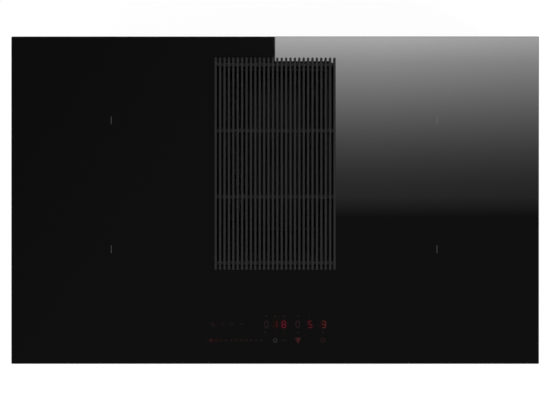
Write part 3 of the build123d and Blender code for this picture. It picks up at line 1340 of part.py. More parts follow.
def touch_contacts():
    """Conductive foam pillars between the board and the glass, one under each key."""
    step = (SLIDER_X1 - SLIDER_X0) / (SLIDER_PADS - 1)
    places = [(x, DIGIT_Y) for x in KEY_XS]
    places += [(SLIDER_X0 + step * i, SLIDER_Y) for i in range(SLIDER_PADS)]
    places += [(x, SLIDER_Y) for x in LOWER_KEY_XS]
    pillar = Box(KEY_CONTACT_W, KEY_CONTACT_W, GLASS_Z0 - CONTROL_BOARD_Z1)
    return [Pos(x, y, (GLASS_Z0 + CONTROL_BOARD_Z1) / 2) * pillar for x, y in places]


# ---------------------------------------------------------------- write the pieces
os.makedirs("parts", exist_ok=True)

save("glass_top", glass_top())
save("worktop_seal", worktop_seal())
save("grille", grille())
save("grille_pads", *grille_pads())
save("base_tray", base_tray())
save("glass_frame", glass_frame())
save("tray_screws", *tray_screws(), *cover_screws())
save("side_clips", *side_clips())

save("chamber_gasket", chamber_gasket())
save("suction_chamber", suction_chamber())
save("filter_frame", filter_frame())
save("filter_basket", filter_basket())
save("filter_mesh", *filter_mesh())

save("scroll_housing", scroll_housing())
save("scroll_cover", scroll_cover())
save("plenum_duct", plenum_duct())
save("plenum_gasket", plenum_gasket())
save("housing_screws", *housing_screws())
save("motor_plate", motor_plate())
save("motor_grommets", *motor_grommets())
save("motor_stator", motor_stator())
save("motor_bearings", *motor_bearings())
save("motor_shaft", motor_shaft())
save("rotor_cup", rotor_cup())
save("rotor_magnet", rotor_magnet())
save("impeller", impeller())

for zone, (zone_side, zone_y) in ZONES.items():
    save(f"coil_winding_{zone}", coil_winding(zone_side * ZONE_X, zone_y))
    save(f"coil_carrier_{zone}", coil_carrier(zone_side * ZONE_X, zone_y))
zone_centres = [(side * ZONE_X, y) for side, y in ZONES.values()]
save("ferrite_bars", *[bar for x, y in zone_centres for bar in ferrite_star(x, y)])
save("mica_sheets", *[mica_sheet(x, y) for x, y in zone_centres])
save("temperature_sensors", *[temperature_sensor(x, y) for x, y in zone_centres])
save("coil_buffers", *[buffer for x, y in zone_centres for buffer in coil_buffers(x, y)])

for name, hand in (("left", -1), ("right", 1)):
    save(f"coil_shelf_{name}", coil_shelf(hand))
    save(f"board_tray_{name}", board_tray(hand))
    save(f"power_board_{name}", power_board(hand))
    save(f"heat_sink_{name}", heat_sink(hand))
    save(f"fan_housing_{name}", fan_housing(hand))
    save(f"fan_rotor_{name}", fan_rotor(hand))
save("power_transistors", *power_transistors())
save("board_capacitors", *board_capacitors())
save("mains_filter_board", mains_filter_board())
save("terminal_block", terminal_block())
save("terminal_cover", terminal_cover())
save("cable_gland", cable_gland())

save("control_housing", control_housing())
save("control_board", control_board())
save("display_modules", *display_modules())
save("touch_contacts", *touch_contacts())
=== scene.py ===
import math

import bmesh
import bpy
import numpy as np
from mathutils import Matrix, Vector


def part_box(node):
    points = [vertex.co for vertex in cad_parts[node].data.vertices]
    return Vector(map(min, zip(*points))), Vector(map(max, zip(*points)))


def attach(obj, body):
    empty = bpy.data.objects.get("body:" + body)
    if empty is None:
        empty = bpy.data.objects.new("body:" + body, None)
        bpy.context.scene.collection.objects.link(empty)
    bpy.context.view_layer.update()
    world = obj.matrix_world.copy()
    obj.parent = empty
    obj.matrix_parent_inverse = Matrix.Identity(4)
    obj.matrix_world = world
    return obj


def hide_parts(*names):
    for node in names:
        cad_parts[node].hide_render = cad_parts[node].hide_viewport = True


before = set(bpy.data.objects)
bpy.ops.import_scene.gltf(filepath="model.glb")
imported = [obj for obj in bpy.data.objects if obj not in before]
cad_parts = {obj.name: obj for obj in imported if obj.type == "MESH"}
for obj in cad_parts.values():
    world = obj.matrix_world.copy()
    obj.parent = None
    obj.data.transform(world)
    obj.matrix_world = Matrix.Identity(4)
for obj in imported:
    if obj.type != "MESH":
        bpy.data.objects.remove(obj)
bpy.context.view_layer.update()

# ---------------------------------------------------------------- glass top
# One sheet of black ceramic glass, 4 mm thick, with the well cut through it and its edges
# ground. It is fire polished, so it mirrors what hangs over it, with only a faint haze.


def new_finish(name):
    """Empty finish: its material, its node tree and the shader in it."""
    material = bpy.data.materials.new(name)
    material.use_nodes = True
    return material, material.node_tree, material.node_tree.nodes["Principled BSDF"]


def put(tree, kind, feeds=None, **settings):
    """Add one shader node. Feeds are its inputs, as plain values or as sockets to link."""
    made = tree.nodes.new("ShaderNode" + kind)
    for key, value in settings.items():
        setattr(made, key, value)
    for key, value in (feeds or {}).items():
        if isinstance(value, bpy.types.NodeSocket):
            tree.links.new(value, made.inputs[key])
        else:
            made.inputs[key].default_value = value
    return made


def place_of(tree, scale=(1.0, 1.0, 1.0), centre=(0.0, 0.0, 0.0)):
    """Place on the object in metres, moved to the centre and then scaled along X, Y and Z."""
    at = put(tree, "TexCoord").outputs["Object"]
    moved = put(tree, "VectorMath", {0: at, 1: centre}, operation="SUBTRACT").outputs[0]
    return put(tree, "VectorMath", {0: moved, 1: scale}, operation="MULTIPLY").outputs[0]


def reckon(tree, operation, *values):
    """Result of one sum on plain values or sockets."""
    return put(tree, "Math", dict(enumerate(values)), operation=operation).outputs[0]


def noise(tree, place, grain, detail):
    """Cloudy value from 0 to 1 whose patches are about one grain (metres) across."""
    feeds = {"Vector": place, "Scale": 1.0 / grain, "Detail": detail}
    return put(tree, "TexNoise", feeds).outputs["Fac"]


def between(tree, value, low, high, new_low, new_high):
    """The value's range from low to high stretched to the new one, and held at its ends."""
    feeds = {0: value, 1: low, 2: high, 3: new_low, 4: new_high}
    return put(tree, "MapRange", feeds).outputs[0]


def tint(tree, amount, first, second):
    """Colour between the first (amount 0) and the second (amount 1)."""
    feeds = {"Fac": amount, "Color1": first, "Color2": second}
    return put(tree, "MixRGB", feeds).outputs[0]


def grey(value):
    """Neutral colour of that level."""
    return (value, value, value, 1.0)


def dress(names, material):
    """Give the named CAD nodes this finish."""
    for name in names:
        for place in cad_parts[name].material_slots:
            place.material = material


HAZE_GRAIN = 0.11
POLISH = (0.012, 0.022)
DUST_GRAIN = 0.0016
FACE_TONES = (grey(0.0013), grey(0.0024))
GROUND_TONE = grey(0.022)
GROUND_ROUGHNESS = 0.38

black_glass, tree, shader = new_finish("black_ceramic_glass")
haze = noise(tree, place_of(tree), HAZE_GRAIN, 5.0)
polish = between(tree, haze, 0.3, 0.7, *POLISH)
facing = put(tree, "SeparateXYZ", {0: put(tree, "NewGeometry").outputs["Normal"]}).outputs["Z"]
ground = between(tree, reckon(tree, "ABSOLUTE", facing), 0.90, 0.97, 1.0, 0.0)
gloss = put(tree, "Mix", {0: ground, 2: polish, 3: GROUND_ROUGHNESS}, data_type="FLOAT").outputs[0]
tree.links.new(gloss, shader.inputs["Roughness"])
specks = between(tree, noise(tree, place_of(tree), DUST_GRAIN, 2.0), 0.7, 0.85, 0.0, 1.0)
face_tone = tint(tree, specks, *FACE_TONES)
tree.links.new(tint(tree, ground, face_tone, GROUND_TONE), shader.inputs["Base Color"])
dress(["glass_top"], black_glass)

# ---------------------------------------------------------------- zone marks
# Four short strokes of grey ceramic ink, printed on the glass and fired into it. Each one
# marks a cooking zone, and stands within 2 mm of the middle of its winding.


def middle(node):
    """Middle of a CAD node's box."""
    low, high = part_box(node)
    return (low + high) / 2


GLASS_Z1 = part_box("glass_top")[1].z
INK_T = 0.00004
MARK_X = (-0.2577, 0.2545)
MARK_Y = (middle("coil_winding_front_left").y, middle("coil_winding_rear_left").y)
MARK_REACH = 0.006
MARK_HALF = 0.0005


def shell(name, grids):
    """One mesh from grids of points. Each grid is (points, ends), its points rows by columns by
    xyz. The rows follow a path and the columns go round it, anticlockwise seen against the path,
    and the last column joins the first. Ends is capped or joined (last row to first)."""
    points, faces, start = [], [], 0
    for grid, ends in grids:
        rows, columns = grid.shape[:2]
        index = start + np.arange(rows * columns).reshape(rows, columns)
        low, high = index[:-1], index[1:]
        if ends == "joined":
            low, high = index, np.roll(index, -1, axis=0)
        cells = [low, np.roll(low, -1, axis=1), np.roll(high, -1, axis=1), high]
        faces += np.stack(cells, axis=-1).reshape(-1, 4).tolist()
        if ends == "capped":
            faces += [index[0, ::-1].tolist(), index[-1].tolist()]
        points.append(grid.reshape(-1, 3))
        start += rows * columns
    mesh = bpy.data.meshes.new(name)
    mesh.from_pydata(np.concatenate(points), [], faces)
    return mesh


def mount(name, mesh, body, material):
    """The piece with that mesh: smooth but for its edges, dressed, and riding on its body."""
    mesh.shade_smooth()
    mesh.set_sharp_from_angle(angle=math.radians(30.0))
    mesh.materials.clear()
    mesh.materials.append(material)
    made = bpy.data.objects.new(name, mesh)
    bpy.context.scene.collection.objects.link(made)
    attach(made, body)
    return made


def skin(name, grids, body, slot, material):
    """The piece made of those grids."""
    return mount(name, shell(name, grids), body, material)


def stroke(path, half, z0, z1):
    """Flat stroke on the glass: the path's points (x, y), with its half width at each of them
    laid off to both sides, square to the path, and a floor at z0 and a top at z1."""
    path = np.asarray(path, float)
    half = np.broadcast_to(np.asarray(half, float), len(path))[:, None]
    run = np.gradient(path, axis=0)
    run /= np.linalg.norm(run, axis=1)[:, None]
    aside = np.stack([run[:, 1], -run[:, 0]], axis=1) * half
    sides = np.stack([path + aside, path + aside, path - aside, path - aside], axis=1)
    levels = np.broadcast_to(np.array([z1, z0, z0, z1])[None, :, None], (len(path), 4, 1))
    return np.concatenate([sides, levels], axis=2)


def ink(name, tone):
    """Matt printed ink: its tone broken by the fine grain of the print."""
    material, tree, shader = new_finish(name)
    grain = noise(tree, place_of(tree), 0.0006, 3.0)
    deep = tuple(0.8 * value for value in tone) + (1.0,)
    tree.links.new(tint(tree, grain, deep, tone + (1.0,)), shader.inputs["Base Color"])
    tree.links.new(between(tree, grain, 0.3, 0.7, 0.02, 0.05), shader.inputs["Roughness"])
    return material


marks = []
for x in MARK_X:
    for y in MARK_Y:
        ends = [(x, y - MARK_REACH), (x, y + MARK_REACH)]
        marks.append((stroke(ends, MARK_HALF, GLASS_Z1, GLASS_Z1 + INK_T), "capped"))
skin("zone_marks", marks, "cooktop", "glass_black", ink("zone_ink", (0.075, 0.075, 0.075)))

# ---------------------------------------------------------------- touch controls
# Lit from below through the glass: seven-segment numbers, small level marks, a row of eleven
# slider dots and plain key symbols. They are shown at the brightness of a dimmed panel, and a
# painted glow in the glass around them stands for their light creeping a little way sideways.
TEXT_Z = GLASS_Z1 + INK_T
LEVEL_Y = -0.1827
DIGIT_Y = -0.1953
UNDER_Y = -0.2079
LOW_Y = -0.2121
SLIDER_Y = -0.2205
DIGIT_H = 0.0099
DIGIT_W = 0.0055
SEGMENT = 0.00075
SEGMENT_GAP = 0.4 * SEGMENT
SEGMENT_TAPER = 1.3 * SEGMENT
NUMERALS = {
    0: "abcdef",
    1: "bc",
    3: "abcdg",
    5: "acdfg",
    8: "abcdefg",
}


def lamp(name, tone, glow):
    """Lens of a lit mark: nearly black itself, with an uneven light of that tone behind it."""
    material, tree, shader = new_finish(name)
    cloud = noise(tree, place_of(tree), 0.0015, 2.0)
    deep = tuple(0.7 * value for value in tone) + (1.0,)
    tree.links.new(tint(tree, cloud, deep, tone + (1.0,)), shader.inputs["Emission Color"])
    shader.inputs["Emission Strength"].default_value = glow
    shader.inputs["Base Color"].default_value = grey(0.001)
    tree.links.new(between(tree, cloud, 0.3, 0.7, 0.02, 0.04), shader.inputs["Roughness"])
    return material


def segment(a, b):
    """One bar of a number from corner a to corner b: it starts a gap past the corner, at a fifth
    of its half width, and is at its full half width where the taper ends."""
    a, b = np.array(a), np.array(b)
    run = (b - a) / np.linalg.norm(b - a)
    gap, taper = run * SEGMENT_GAP, run * SEGMENT_TAPER
    half = SEGMENT * np.array([0.2, 1.0, 1.0, 0.2])
    return stroke([a + gap, a + taper, b - taper, b - gap], half, GLASS_Z1, TEXT_Z), "capped"


def numeral(value, x):
    """The bars of one seven-segment number in the row of numbers, centred at x."""
    y, w, h = DIGIT_Y, DIGIT_W / 2, DIGIT_H / 2
    bars = {
        "a": ((x - w, y + h), (x + w, y + h)),
        "b": ((x + w, y + h), (x + w, y)),
        "c": ((x + w, y), (x + w, y - h)),
        "d": ((x - w, y - h), (x + w, y - h)),
        "e": ((x - w, y - h), (x - w, y)),
        "f": ((x - w, y), (x - w, y + h)),
        "g": ((x - w, y), (x + w, y)),
    }
    return [segment(*bars[letter]) for letter in NUMERALS[value]]


def dot(x, y, r):
    """Filled round dot: a stroke along X whose half width follows the circle."""
    turn = np.linspace(0.06, math.pi - 0.06, 9)
    path = np.stack([x - r * np.cos(turn), np.full_like(turn, y)], axis=1)
    return stroke(path, r * np.sin(turn), GLASS_Z1, TEXT_Z), "capped"


def hoop(x, y, r, half):
    """Whole circle of radius r drawn with a stroke: the stroke's corners carried round it."""
    turn = np.linspace(0, 2 * math.pi, 24, endpoint=False)[:, None]
    radius = r + half * np.array([[1, 1, -1, -1]])
    levels = np.broadcast_to([TEXT_Z, GLASS_Z1, GLASS_Z1, TEXT_Z], (len(turn), 4))
    grid = np.stack([x + radius * np.cos(turn), y + radius * np.sin(turn), levels], axis=2)
    return grid, "joined"


def ring(x, y, r, half, start, end):
    """Part of a circle of radius r drawn with a stroke, from the start to the end angle."""
    turn = np.linspace(start, end, 25)
    path = np.stack([x + r * np.cos(turn), y + r * np.sin(turn)], axis=1)
    return stroke(path, half, GLASS_Z1, TEXT_Z), "capped"


def line(points, half):
    """Thin stroke through the points."""
    return stroke(points, half, GLASS_Z1, TEXT_Z), "capped"


bright_red = lamp("lamp_bright_red", (1.0, 0.03, 0.13), 0.115)
full_red = lamp("lamp_full_red", (1.0, 0.05, 0.12), 0.088)
ember_red = lamp("lamp_ember_red", (1.0, 0.06, 0.08), 0.060)
orange_red = lamp("lamp_orange_red", (1.0, 0.16, 0.13), 0.088)
marker_red = lamp("lamp_marker_red", (1.0, 0.20, 0.27), 0.042)
soft_red = lamp("lamp_soft_red", (1.0, 0.16, 0.21), 0.030)
faint_red = lamp("lamp_faint_red", (1.0, 0.10, 0.08), 0.011)
dim_rose = lamp("lamp_dim_rose", (1.0, 0.42, 0.56), 0.018)
low_rose = lamp("lamp_low_rose", (1.0, 0.42, 0.50), 0.011)
dim_white = lamp("lamp_dim_white", (1.0, 0.66, 0.72), 0.014)
faint_rose = lamp("lamp_faint_rose", (1.0, 0.48, 0.48), 0.009)
faint_white = lamp("lamp_faint_white", (1.0, 0.97, 0.97), 0.006)
key_white = lamp("lamp_key_white", (1.0, 0.97, 0.97), 0.028)

NUMBER_X = {"left": 0.0002, "right": 0.0136, "timer": 0.0549, "fan": 0.0765}
DIM_X = (-0.0135, 0.0355)
lit = {"body": "cooktop", "slot": "digit_block"}
skin("number_right", numeral(8, NUMBER_X["right"]), material=bright_red, **lit)
skin("number_left", numeral(1, NUMBER_X["left"]), material=ember_red, **lit)
skin("number_timer", numeral(5, NUMBER_X["timer"]), material=full_red, **lit)
skin("number_fan", numeral(3, NUMBER_X["fan"]), material=orange_red, **lit)
skin("numbers_dim", numeral(0, DIM_X[0]) + numeral(0, DIM_X[1]), material=dim_rose, **lit)

SLIDER_X0 = -0.1011
SLIDER_STEP = 0.00795
SLIDER_DOTS = 11
slider_x = SLIDER_X0 + SLIDER_STEP * np.arange(SLIDER_DOTS)
skin("slider_first_dot", [dot(slider_x[0], SLIDER_Y, 0.0021)], material=soft_red, **lit)
skin("slider_low_dots", [dot(x, SLIDER_Y, 0.0019) for x in slider_x[1:3]], material=faint_red, **lit)
skin("slider_dots", [dot(x, SLIDER_Y, 0.0018) for x in slider_x[3:]], material=faint_rose, **lit)

FINE = 0.0007
KEY_TOP = DIGIT_Y + 0.0028
KEY_FOOT = DIGIT_Y - 0.0028
symbols = [
    line([(-0.1008, KEY_TOP), (-0.0958, KEY_FOOT)], 0.0014),
    ring(-0.0821, DIGIT_Y, 0.0022, FINE, 0.4, 5.4),
    line([(-0.0706, KEY_TOP), (-0.0706, KEY_FOOT)], FINE),
    line([(-0.0650, KEY_TOP), (-0.0684, DIGIT_Y), (-0.0650, KEY_FOOT)], FINE),
    line([(-0.0556, DIGIT_Y), (-0.0528, DIGIT_Y + 0.0006), (-0.0496, DIGIT_Y + 0.0020)], 0.0011),
]
skin("key_symbols", symbols, material=faint_rose, **lit)
above = [dot(x, LEVEL_Y, 0.0013) for x in (-0.0144, -0.0002, 0.0140, 0.0360)]
above += [dot(0.0533, LEVEL_Y, 0.0009)]
under = [dot(x, UNDER_Y, 0.0012) for x in (-0.0156, 0.0360, 0.0754)]
skin("level_marks", above + under, material=dim_white, **lit)
under_red = [dot(0.0004, UNDER_Y, 0.0012), dot(0.0140, UNDER_Y, 0.0014)]
under_red += [dot(x, LOW_Y, 0.0008) for x in (-0.0160, -0.0002, 0.0140, 0.0470)]
skin("level_marks_red", under_red, material=faint_red, **lit)

POWER_X = 0.0001
MARKER_X = 0.0360
FAN_X = 0.0751
power_key = [
    ring(POWER_X, SLIDER_Y, 0.0028, FINE, 2.2, 7.2),
    line([(POWER_X, SLIDER_Y + 0.0008), (POWER_X, SLIDER_Y + 0.0042)], 0.0006),
]
skin("power_key", power_key, material=key_white, **lit)
pause_key = [line([(0.0110, SLIDER_Y), (0.0174, SLIDER_Y)], 0.0011)]
skin("pause_key", pause_key, material=faint_white, **lit)
marker_ends = [(MARKER_X, SLIDER_Y + 0.0042), (MARKER_X, SLIDER_Y - 0.0044)]
skin("down_marker", [line(marker_ends, [0.0048, 0.0004])], material=marker_red, **lit)
fan_key = [hoop(FAN_X, SLIDER_Y, 0.0030, 0.0010), dot(0.0659, LOW_Y, 0.0008)]
skin("fan_key", fan_key, material=low_rose, **lit)


def bloom(tree, before, x, y, reach_x, reach_y, level):
    """Painted glow in the glass around a lamp at (x, y), standing for its light creeping sideways:
    level times the square of 1 - d squared, with d the distance over the reach, added to what was there
    before."""
    flat = place_of(tree, (1.0 / reach_x, 1.0 / reach_y, 0.0), (x, y, 0.0))
    squared = put(tree, "VectorMath", {0: flat, 1: flat}, operation="DOT_PRODUCT").outputs["Value"]
    near = between(tree, squared, 0.0, 1.0, 1.0, 0.0)
    return reckon(tree, "MULTIPLY_ADD", reckon(tree, "POWER", near, 2.0), level, before)


PAINTED_GLOWS = {
    "right number": (NUMBER_X["right"], DIGIT_Y, 0.0090, 0.0110, 0.0085),
    "left number": (0.0010, DIGIT_Y, 0.0080, 0.0110, 0.0080),
    "timer number": (NUMBER_X["timer"], DIGIT_Y, 0.0090, 0.0105, 0.0042),
    "fan number": (0.0760, DIGIT_Y, 0.0095, 0.0105, 0.0085),
    "dim number on the right": (0.0360, DIGIT_Y, 0.0080, 0.0100, 0.0022),
    "dim number on the left": (DIM_X[0], -0.1960, 0.0080, 0.0110, 0.0012),
    "down marker": (MARKER_X, -0.2200, 0.0085, 0.0080, 0.0045),
    "first slider dots": (-0.0975, SLIDER_Y, 0.0150, 0.0070, 0.0046),
    "slider row": (-0.0640, SLIDER_Y, 0.0500, 0.0060, 0.0018),
    "fan key": (FAN_X, SLIDER_Y, 0.0080, 0.0075, 0.0030),
    "first key symbols": (-0.0950, DIGIT_Y, 0.0130, 0.0070, 0.0020),
    "level marks": (0.0060, -0.1830, 0.0150, 0.0050, 0.0022),
}
PAINTED_GLOW_TONE = (1.0, 0.0, 0.02, 1.0)
# Painted glow: the glass itself emits red light around each lit mark, summed from these spreads.
tree = black_glass.node_tree
shader = tree.nodes["Principled BSDF"]
painted_glow = 0.0
for spread in PAINTED_GLOWS.values():
    painted_glow = bloom(tree, painted_glow, *spread)
tree.links.new(tint(tree, painted_glow, grey(0.0), PAINTED_GLOW_TONE), shader.inputs["Emission Color"])
shader.inputs["Emission Strength"].default_value = 1.0

# ---------------------------------------------------------------- grille
# Cast iron, black vitreous enamel: 28 narrow slats run front to back and stand on four lower
# cross bars, whose tongues drop into the well. Silicone feet keep the iron off the glass.
WELL_Y = middle("grille").y
GRILLE_LOW, GRILLE_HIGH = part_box("grille")
SLAT_COUNT = 28
SLAT_HALF = 0.00175
SLAT_PITCH = (GRILLE_HIGH.x - GRILLE_LOW.x - 2 * SLAT_HALF) / (SLAT_COUNT - 1)
SLAT_L = GRILLE_HIGH.y - GRILLE_LOW.y
SLAT_Z0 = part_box("grille_pads")[1].z
SLAT_Z1 = GRILLE_HIGH.z
SLAT_EASE = 0.0010
SLAT_FOOT = 0.0003
TIP_STEPS = np.array([0.0, 0.12, 0.35, 0.7, 1.2, 1.8, 3.0, 5.0]) * 0.001
TIP_RUN = 0.004
TIP_DROP = 0.0013
BAR_COUNT = 4
BAR_INSET = 0.011
BAR_PITCH = (SLAT_L - 2 * BAR_INSET) / (BAR_COUNT - 1)
BAR_HALF = 0.00275
BAR_DROP = 0.0035
BAR_EASE = 0.0007
BAR_FOOT = 0.0004
BAR_END = 0.0004
BAR_SLIM = 0.85
TONGUE_X = 0.083
TONGUE_Z0 = GRILLE_LOW.z
TONGUE_BITE = 0.001


def soft_bar(half, low, high, ease, foot):
    """Outline across a bar, as (aside, up) pairs anticlockwise seen against a path that runs
    square to both: straight flanks, a foot cut at the bottom and a rounded top of radius ease."""
    turn = np.linspace(0, math.pi / 2, 5)
    right = np.stack([half - ease + ease * np.sin(turn), high - ease + ease * np.cos(turn)], axis=1)
    flank = np.array([[half, low + foot], [half - foot, low]])
    side = np.concatenate([right, flank])
    return np.concatenate([side, side[::-1] * [-1, 1]])


def slat(x):
    """The outline swept along Y, in short steps near the tips. There its width follows a half
    circle, and its top drops by the square of how far it is into the tip's run."""
    y = np.concatenate([TIP_STEPS, [SLAT_L / 2], SLAT_L - TIP_STEPS[::-1]]) - SLAT_L / 2
    reach = SLAT_L / 2 - np.abs(y)
    nose = np.clip(1 - reach / SLAT_HALF, 0, 1)
    width = np.sqrt(np.clip(1 - nose**2, 0.02, 1))
    drop = TIP_DROP * np.clip(1 - reach / TIP_RUN, 0, 1) ** 2
    outline = soft_bar(SLAT_HALF, SLAT_Z0, SLAT_Z1, SLAT_EASE, SLAT_FOOT)
    grid = np.empty((len(y), len(outline), 3))
    grid[:, :, 0] = x + outline[None, :, 0] * width[:, None]
    grid[:, :, 1] = WELL_Y + y[:, None]
    share = (outline[:, 1] - SLAT_Z0) / (SLAT_Z1 - SLAT_Z0)
    grid[:, :, 2] = outline[None, :, 1] - drop[:, None] * share[None, :]
    return grid, "capped"


def cross_bar(y, reach, low, high):
    """The outline swept along X from minus the reach to plus the reach, slimmer at both ends."""
    outline = soft_bar(BAR_HALF, low, high, BAR_EASE, BAR_FOOT)
    x = np.array([-reach, -reach + BAR_END, reach - BAR_END, reach])
    slim = np.array([BAR_SLIM, 1.0, 1.0, BAR_SLIM])
    grid = np.empty((4, len(outline), 3))
    grid[:, :, 0] = x[:, None]
    grid[:, :, 1] = y - outline[None, :, 0] * slim[:, None]
    grid[:, :, 2] = outline[None, :, 1]
    return grid, "capped"


def bumped(tree, height, depth):
    """Surface direction over a relief of that height (0 to 1), depth metres from low to high."""
    feeds = {"Height": height, "Distance": depth, "Strength": 1.0}
    return put(tree, "Bump", feeds).outputs[0]


def cast_enamel(name, deep, pale):
    """Enamelled iron: fine orange peel over the sand-cast skin, a satin gloss that wanders."""
    material, tree, shader = new_finish(name)
    skin_grain = noise(tree, place_of(tree), 0.0007, 4.0)
    cloud = noise(tree, place_of(tree), 0.02, 3.0)
    tree.links.new(tint(tree, cloud, grey(deep), grey(pale)), shader.inputs["Base Color"])
    tree.links.new(between(tree, skin_grain, 0.3, 0.7, 0.46, 0.60), shader.inputs["Roughness"])
    tree.links.new(bumped(tree, skin_grain, 0.00002), shader.inputs["Normal"])
    shader.inputs["Specular IOR Level"].default_value = 0.15
    return material


def combined(mesh, other, operation):
    """Mesh left when the other one is added to it (UNION) or taken from it (DIFFERENCE)."""
    pair = [bpy.data.objects.new(f"{operation}_{i}", part) for i, part in enumerate((mesh, other))]
    for part in pair:
        bpy.context.scene.collection.objects.link(part)
    step = pair[0].modifiers.new("step", "BOOLEAN")
    step.operation, step.solver, step.object = operation, "EXACT", pair[1]
    state = bpy.context.evaluated_depsgraph_get()
    made = bpy.data.meshes.new_from_object(pair[0].evaluated_get(state))
    for part in pair:
        bpy.data.objects.remove(part)
    return made


def crisp(made):
    """Hard edges round each face that is square to an axis, so that it stays flat to the eye."""
    work = bmesh.new()
    work.from_mesh(made.data)
    for edge in work.edges:
        if len({max(map(abs, face.normal)) > 0.9999 for face in edge.link_faces}) == 2:
            edge.smooth = False
    work.to_mesh(made.data)
    work.free()


iron = cast_enamel("black_enamel", 0.0166, 0.0188)
slat_x = (np.arange(SLAT_COUNT) - (SLAT_COUNT - 1) / 2) * SLAT_PITCH
bar_y = WELL_Y + (np.arange(BAR_COUNT) - (BAR_COUNT - 1) / 2) * BAR_PITCH
slats = [slat(x) for x in slat_x]
bars = [cross_bar(y, slat_x[-1], SLAT_Z0, SLAT_Z1 - BAR_DROP) for y in bar_y]
tongues = [cross_bar(y, TONGUE_X, TONGUE_Z0, SLAT_Z0 + TONGUE_BITE) for y in bar_y]
rack = combined(shell("slats", slats), shell("bars", bars), "UNION")
rack = combined(rack, shell("tongues", tongues), "UNION")
casting = mount("cast_grille", rack, "grille", iron)
crisp(casting)
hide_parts("grille")


def rubber(name, tone, grain=0.0008):
    """Moulded rubber: matt, with a soft bloom and a fine pitted skin."""
    material, tree, shader = new_finish(name)
    cloud = noise(tree, place_of(tree), 0.006, 4.0)
    pits = noise(tree, place_of(tree), grain, 2.0)
    deep = tuple(0.75 * value for value in tone) + (1.0,)
    pale = tuple(min(1.0, 1.3 * value) for value in tone) + (1.0,)
    tree.links.new(tint(tree, cloud, deep, pale), shader.inputs["Base Color"])
    tree.links.new(between(tree, pits, 0.3, 0.7, 0.65, 0.85), shader.inputs["Roughness"])
    tree.links.new(bumped(tree, pits, 0.00005), shader.inputs["Normal"])
    return material


black_rubber = rubber("black_rubber", (0.02, 0.02, 0.02))
dress(["grille_pads"], black_rubber)

# ---------------------------------------------------------------- grease filter
# A black moulded rim with a grip pocket carries a folded steel basket; fine mesh panels lie in
# its windows, and what drips from them gathers in the bowl below.


def eroded(name, grain=0.0005, rough=0.5, depth=0.00003):
    """Moulded plastic with no tone yet: its gloss and relief follow the mould's eroded grain."""
    material, tree, shader = new_finish(name)
    texture = noise(tree, place_of(tree), grain, 3.0)
    gloss = between(tree, texture, 0.3, 0.7, rough - 0.08, rough + 0.08)
    tree.links.new(gloss, shader.inputs["Roughness"])
    tree.links.new(bumped(tree, texture, depth), shader.inputs["Normal"])
    return material, tree, shader


def moulded(name, tone, *grained):
    """Moulded plastic with an eroded grain, its tone clouding slowly."""
    material, tree, shader = eroded(name, *grained)
    cloud = noise(tree, place_of(tree), 0.05, 3.0)
    deep = tuple(0.85 * value for value in tone) + (1.0,)
    pale = tuple(min(1.0, 1.12 * value) for value in tone) + (1.0,)
    tree.links.new(tint(tree, cloud, deep, pale), shader.inputs["Base Color"])
    return material


def sheet_metal(name, deep, pale, rough, draw=(1.0, 1.0, 1.0), grain=0.002):
    """Bare metal: a drawn grain along one way moves its tone, gloss and relief."""
    material, tree, shader = new_finish(name)
    lines = noise(tree, place_of(tree, draw), grain, 3.0)
    cloud = noise(tree, place_of(tree), 0.06, 3.0)
    tree.links.new(tint(tree, lines, deep + (1.0,), pale + (1.0,)), shader.inputs["Base Color"])
    tree.links.new(between(tree, cloud, 0.3, 0.7, rough - 0.06, rough + 0.06), shader.inputs["Roughness"])
    tree.links.new(bumped(tree, lines, 0.00003), shader.inputs["Normal"])
    shader.inputs["Metallic"].default_value = 1.0
    return material


# Painted shade: the rim's colour darkens with depth, from the ledge at its top down into the pocket.
POCKET_Z = -0.012
LEDGE_Z = -0.004
filter_black, tree, shader = eroded("filter_black", rough=0.55)
height = put(tree, "SeparateXYZ", {0: place_of(tree)}).outputs["Z"]
painted_depth_shade = between(tree, height, POCKET_Z, LEDGE_Z, 0.0, 1.0)
tree.links.new(tint(tree, painted_depth_shade, grey(0.0015), grey(0.0145)), shader.inputs["Base Color"])
shader.inputs["Specular IOR Level"].default_value = 0.2
dress(["filter_frame"], filter_black)
sheet_deep, sheet_pale = (0.0105, 0.0105, 0.011), (0.018, 0.018, 0.018)
coated = sheet_metal("black_coated_sheet", sheet_deep, sheet_pale, 0.42, (1.0, 0.05, 1.0), 0.0015)
dress(["filter_basket"], coated)

mesh_metal, tree, shader = new_finish("expanded_mesh")
weave = {"Vector": place_of(tree), "Scale": 420.0}
cells = put(tree, "TexVoronoi", weave, feature="DISTANCE_TO_EDGE").outputs["Distance"]
strand = between(tree, cells, 0.02, 0.25, 1.0, 0.0)
# Painted shade: the openings between the strands are coloured near black, as if seen into the dark below.
tree.links.new(tint(tree, strand, grey(0.01), grey(0.16)), shader.inputs["Base Color"])
tree.links.new(between(tree, strand, 0.0, 1.0, 0.7, 0.35), shader.inputs["Roughness"])
tree.links.new(bumped(tree, strand, 0.0004), shader.inputs["Normal"])
shader.inputs["Metallic"].default_value = 1.0
dress(["filter_mesh"], mesh_metal)

# ---------------------------------------------------------------- seal, frame, tray and screws
# Foam tape under the glass beds it on the worktop. The galvanised tray hangs from an angle
# frame that is bonded to the glass, and bowed springs on its sides centre it in the cut-out.
foam, tree, shader = new_finish("closed_cell_foam")
pores = put(tree, "TexVoronoi", {"Vector": place_of(tree), "Scale": 900.0}).outputs["Distance"]
tree.links.new(tint(tree, pores, grey(0.11), grey(0.045)), shader.inputs["Base Color"])
tree.links.new(between(tree, pores, 0.0, 0.8, 0.75, 0.95), shader.inputs["Roughness"])
tree.links.new(bumped(tree, pores, 0.0002), shader.inputs["Normal"])
dress(["worktop_seal"], foam)

